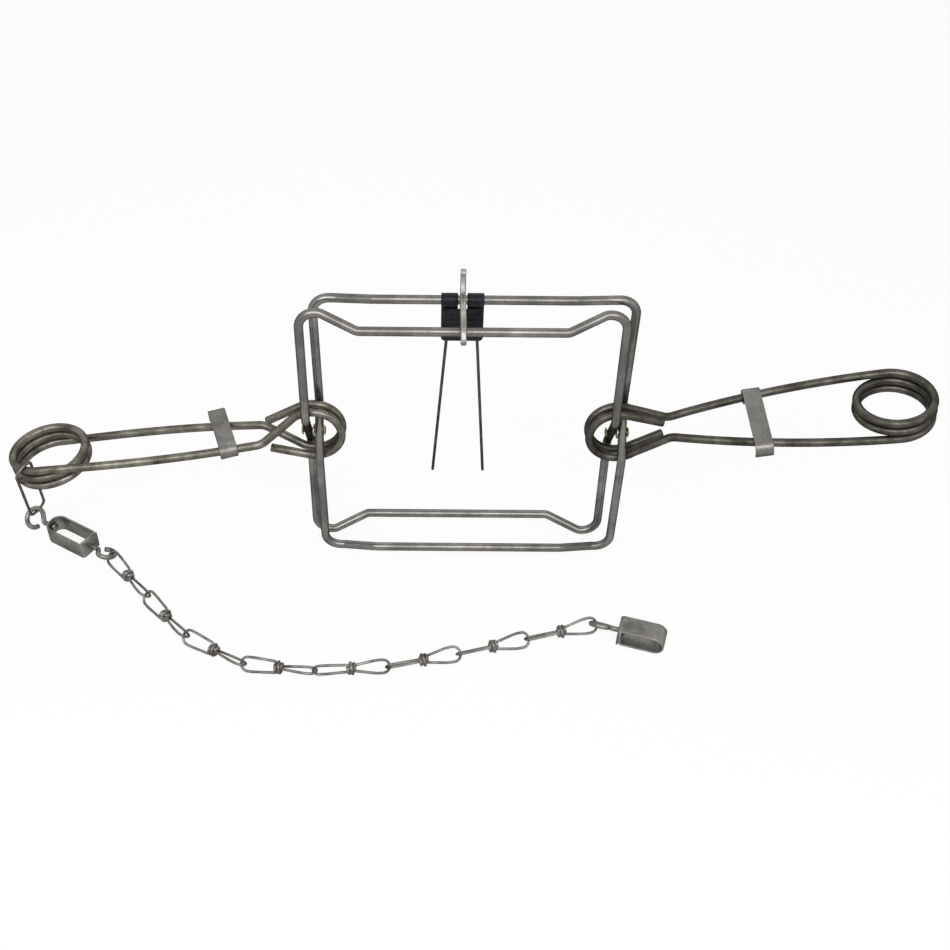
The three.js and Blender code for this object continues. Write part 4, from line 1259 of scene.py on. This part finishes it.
def make_end_swivel():
    along = heading_vector(END_HEADING)
    height = Vector((0, 0, END_HEIGHT / 2))
    eye = CHAIN_END + along * (END_EYE_RADIUS - SHANK_RADIUS - END_EYE_PLAY) + height
    middle = eye + along * (END_EYE_DISTANCE + END_LENGTH / 2)
    strap_loop(
        "end_loop_strap",
        "end_loop",
        END_LENGTH,
        END_HEIGHT,
        END_STRAP,
        END_SHEET,
        END_HEIGHT / 2,
        laid(middle, END_HEADING + math.pi),
    )
    eye_bolt(
        "end_eye_wire",
        "end_eye",
        END_EYE_RADIUS,
        END_EYE_DISTANCE,
        2 * END_SHEET,
        laid(eye, END_HEADING + math.pi, END_EYE_ROLL),
    )


def make_coil_ring(eye_matrix):
    """The ring round the coil's wires and through the left swivel's eye."""
    spring = spring_side("left")
    turned = RING_COIL_ANGLE + QUARTER_TURN
    highest = spring @ coil_point(turned + 2 * FULL_TURN)
    lowest = coil_point(turned)
    outward = (spring @ lowest - spring @ Vector((COIL_DISTANCE, 0, lowest.z))).normalized()
    in_eye = RING_EYE_RADIUS * Vector((math.cos(RING_EYE_ANGLE), math.sin(RING_EYE_ANGLE), 0))
    eye = eye_matrix @ in_eye
    upward = (highest - eye).normalized()
    margin = RING_WIRE / 2 + RING_PLAY
    top = highest + upward * (SOLID_WIRE_RADIUS + margin)
    bottom = eye - upward * (SHANK_RADIUS + margin)
    across = (outward - upward * outward.dot(upward)).normalized() * RING_HALF_WIDTH
    corners = [top + across, top - across, bottom - across, bottom + across]
    ring = sweep(
        "coil_ring_wire",
        rounded([(corner, RING_CORNER) for corner in corners], True),
        circle(RING_WIRE / 2, WIRE_SIDES),
        CHAIN_STEEL,
        is_closed=True,
        side=across.normalized().cross(upward),
    )
    dress(ring, "coil_ring", "coil_ring")


make_coil_ring(make_left_swivel())
make_end_swivel()

# Floor and room, in metres
FLOOR_SIZE = 20.0
FLOOR_GAP = 0.0003
FLOOR_COLOUR = (0.92, 0.92, 0.92, 1)
FLOOR_ROUGHNESS = 0.9
FLOOR_GLOW_SHARE = 0.9
ROOM_COLOUR = (0.86, 0.87, 0.88, 1)
ROOM_STRENGTH = 0.55


def seen_rays(tree):
    """One for the rays that show the background: from the camera, off a gloss or through glass."""
    rays = tree.nodes.new("ShaderNodeLightPath")
    total = rays.outputs["Is Camera Ray"]
    for kind in ("Is Glossy Ray", "Is Transmission Ray"):
        either = node(tree, "ShaderNodeMath", operation="MAXIMUM")
        tree.links.new(total, either.inputs[0])
        tree.links.new(rays.outputs[kind], either.inputs[1])
        total = either.outputs[0]
    return total


def blend_into(tree, factor, first, second, output):
    """Sends a mix of two shaders' outputs to the surface."""
    blend = tree.nodes.new("ShaderNodeMixShader")
    for socket, source in zip(blend.inputs, (factor, first, second)):
        tree.links.new(source, socket)
    tree.links.new(blend.outputs[0], tree.nodes[output].inputs["Surface"])


def make_floor():
    """A pale floor that keeps the object's shadow and looks nearly white to the rays that show it."""
    bm = bmesh.new()
    half = FLOOR_SIZE / 2
    z = cad_box[0][2] - FLOOR_GAP
    corners = [(-half, -half, z), (half, -half, z), (half, half, z), (-half, half, z)]
    bm.faces.new([bm.verts.new(corner) for corner in corners])
    material, tree, shader = new_material("floor_white")
    shader.inputs["Base Color"].default_value = FLOOR_COLOUR
    shader.inputs["Roughness"].default_value = FLOOR_ROUGHNESS
    glow = node(tree, "ShaderNodeEmission", Color=WHITE, Strength=1.0)
    share = node(tree, "ShaderNodeMath", operation="MULTIPLY")
    share.inputs[1].default_value = FLOOR_GLOW_SHARE
    tree.links.new(seen_rays(tree), share.inputs[0])
    blend_into(tree, share.outputs[0], shader.outputs[0], glow.outputs[0], "Material Output")
    floor = mesh_object("floor", bm, material, is_smooth=False)


def make_world():
    world = bpy.data.worlds.new("studio")
    bpy.context.scene.world = world
    world.use_nodes = True
    tree = world.node_tree
    background = tree.nodes["Background"]
    background.inputs["Color"].default_value = ROOM_COLOUR
    background.inputs["Strength"].default_value = ROOM_STRENGTH
    seen = node(tree, "ShaderNodeBackground", Color=WHITE, Strength=1.0)
    blend_into(tree, seen_rays(tree), background.outputs[0], seen.outputs[0], "World Output")


make_floor()
make_world()

# Lights, each with its place, its size in metres and its power in watts
LIGHTS_AIM = Vector((0, 0.05, 0.1))
LIGHTS = {
    "key": ((-0.15, -0.92, 1.22), (2.2, 0.85), 19),
    "fill": ((1.3, -0.9, 1.0), (1.0, 1.0), 2),
    "rim": ((-0.1, 1.4, 1.2), (1.6, 0.5), 3),
}


def area_light(name, at, size, power):
    data = bpy.data.lights.new(name, "AREA")
    data.shape = "RECTANGLE"
    data.size, data.size_y = size
    data.energy = power
    lamp = bpy.data.objects.new(name, data)
    bpy.context.scene.collection.objects.link(lamp)
    lamp.location = at
    lamp.rotation_euler = (LIGHTS_AIM - Vector(at)).to_track_quat("-Z", "Y").to_euler()


for light_name, (light_at, light_size, light_power) in LIGHTS.items():
    area_light(light_name, light_at, light_size, light_power)

# Camera, with its focal length and its centre in the photograph's pixels
PHOTO = 950
SENSOR_WIDTH = 36
CAMERA_REACH = 50
CAMERA_DISTANCE = 1134.23
CAMERA_ELEVATION = radians(42.72)
CAMERA_AZIMUTH = radians(-0.5)
CAMERA_ROLL = radians(0.79)
CAMERA_FOCAL = 1273.76
CAMERA_CENTRE = (441.28, 471.4)
CAMERA_TARGET = Vector((-20.43, 0, -47.85))


def camera_axes():
    """The camera's right, up and back directions."""
    level = math.cos(CAMERA_ELEVATION)
    back = Vector(
        (
            math.sin(CAMERA_AZIMUTH) * level,
            -math.cos(CAMERA_AZIMUTH) * level,
            math.sin(CAMERA_ELEVATION),
        )
    )
    right = Vector((math.cos(CAMERA_AZIMUTH), math.sin(CAMERA_AZIMUTH), 0))
    up = back.cross(right)
    cosine, sine = math.cos(CAMERA_ROLL), math.sin(CAMERA_ROLL)
    return right * cosine + up * sine, up * cosine - right * sine, back


def make_camera():
    data = bpy.data.cameras.new("camera")
    data.sensor_fit = "HORIZONTAL"
    data.sensor_width = SENSOR_WIDTH
    data.lens = CAMERA_FOCAL / PHOTO * SENSOR_WIDTH
    data.shift_x = (PHOTO / 2 - CAMERA_CENTRE[0]) / PHOTO
    data.shift_y = (CAMERA_CENTRE[1] - PHOTO / 2) / PHOTO
    data.clip_end = CAMERA_REACH
    right, up, back = camera_axes()
    camera = bpy.data.objects.new("camera", data)
    bpy.context.scene.collection.objects.link(camera)
    matrix = Matrix((right, up, back)).transposed().to_4x4()
    matrix.translation = place(CAMERA_TARGET + back * CAMERA_DISTANCE)
    camera.matrix_world = matrix
    bpy.context.scene.camera = camera


make_camera()
bpy.context.scene.view_settings.view_transform = "Standard"
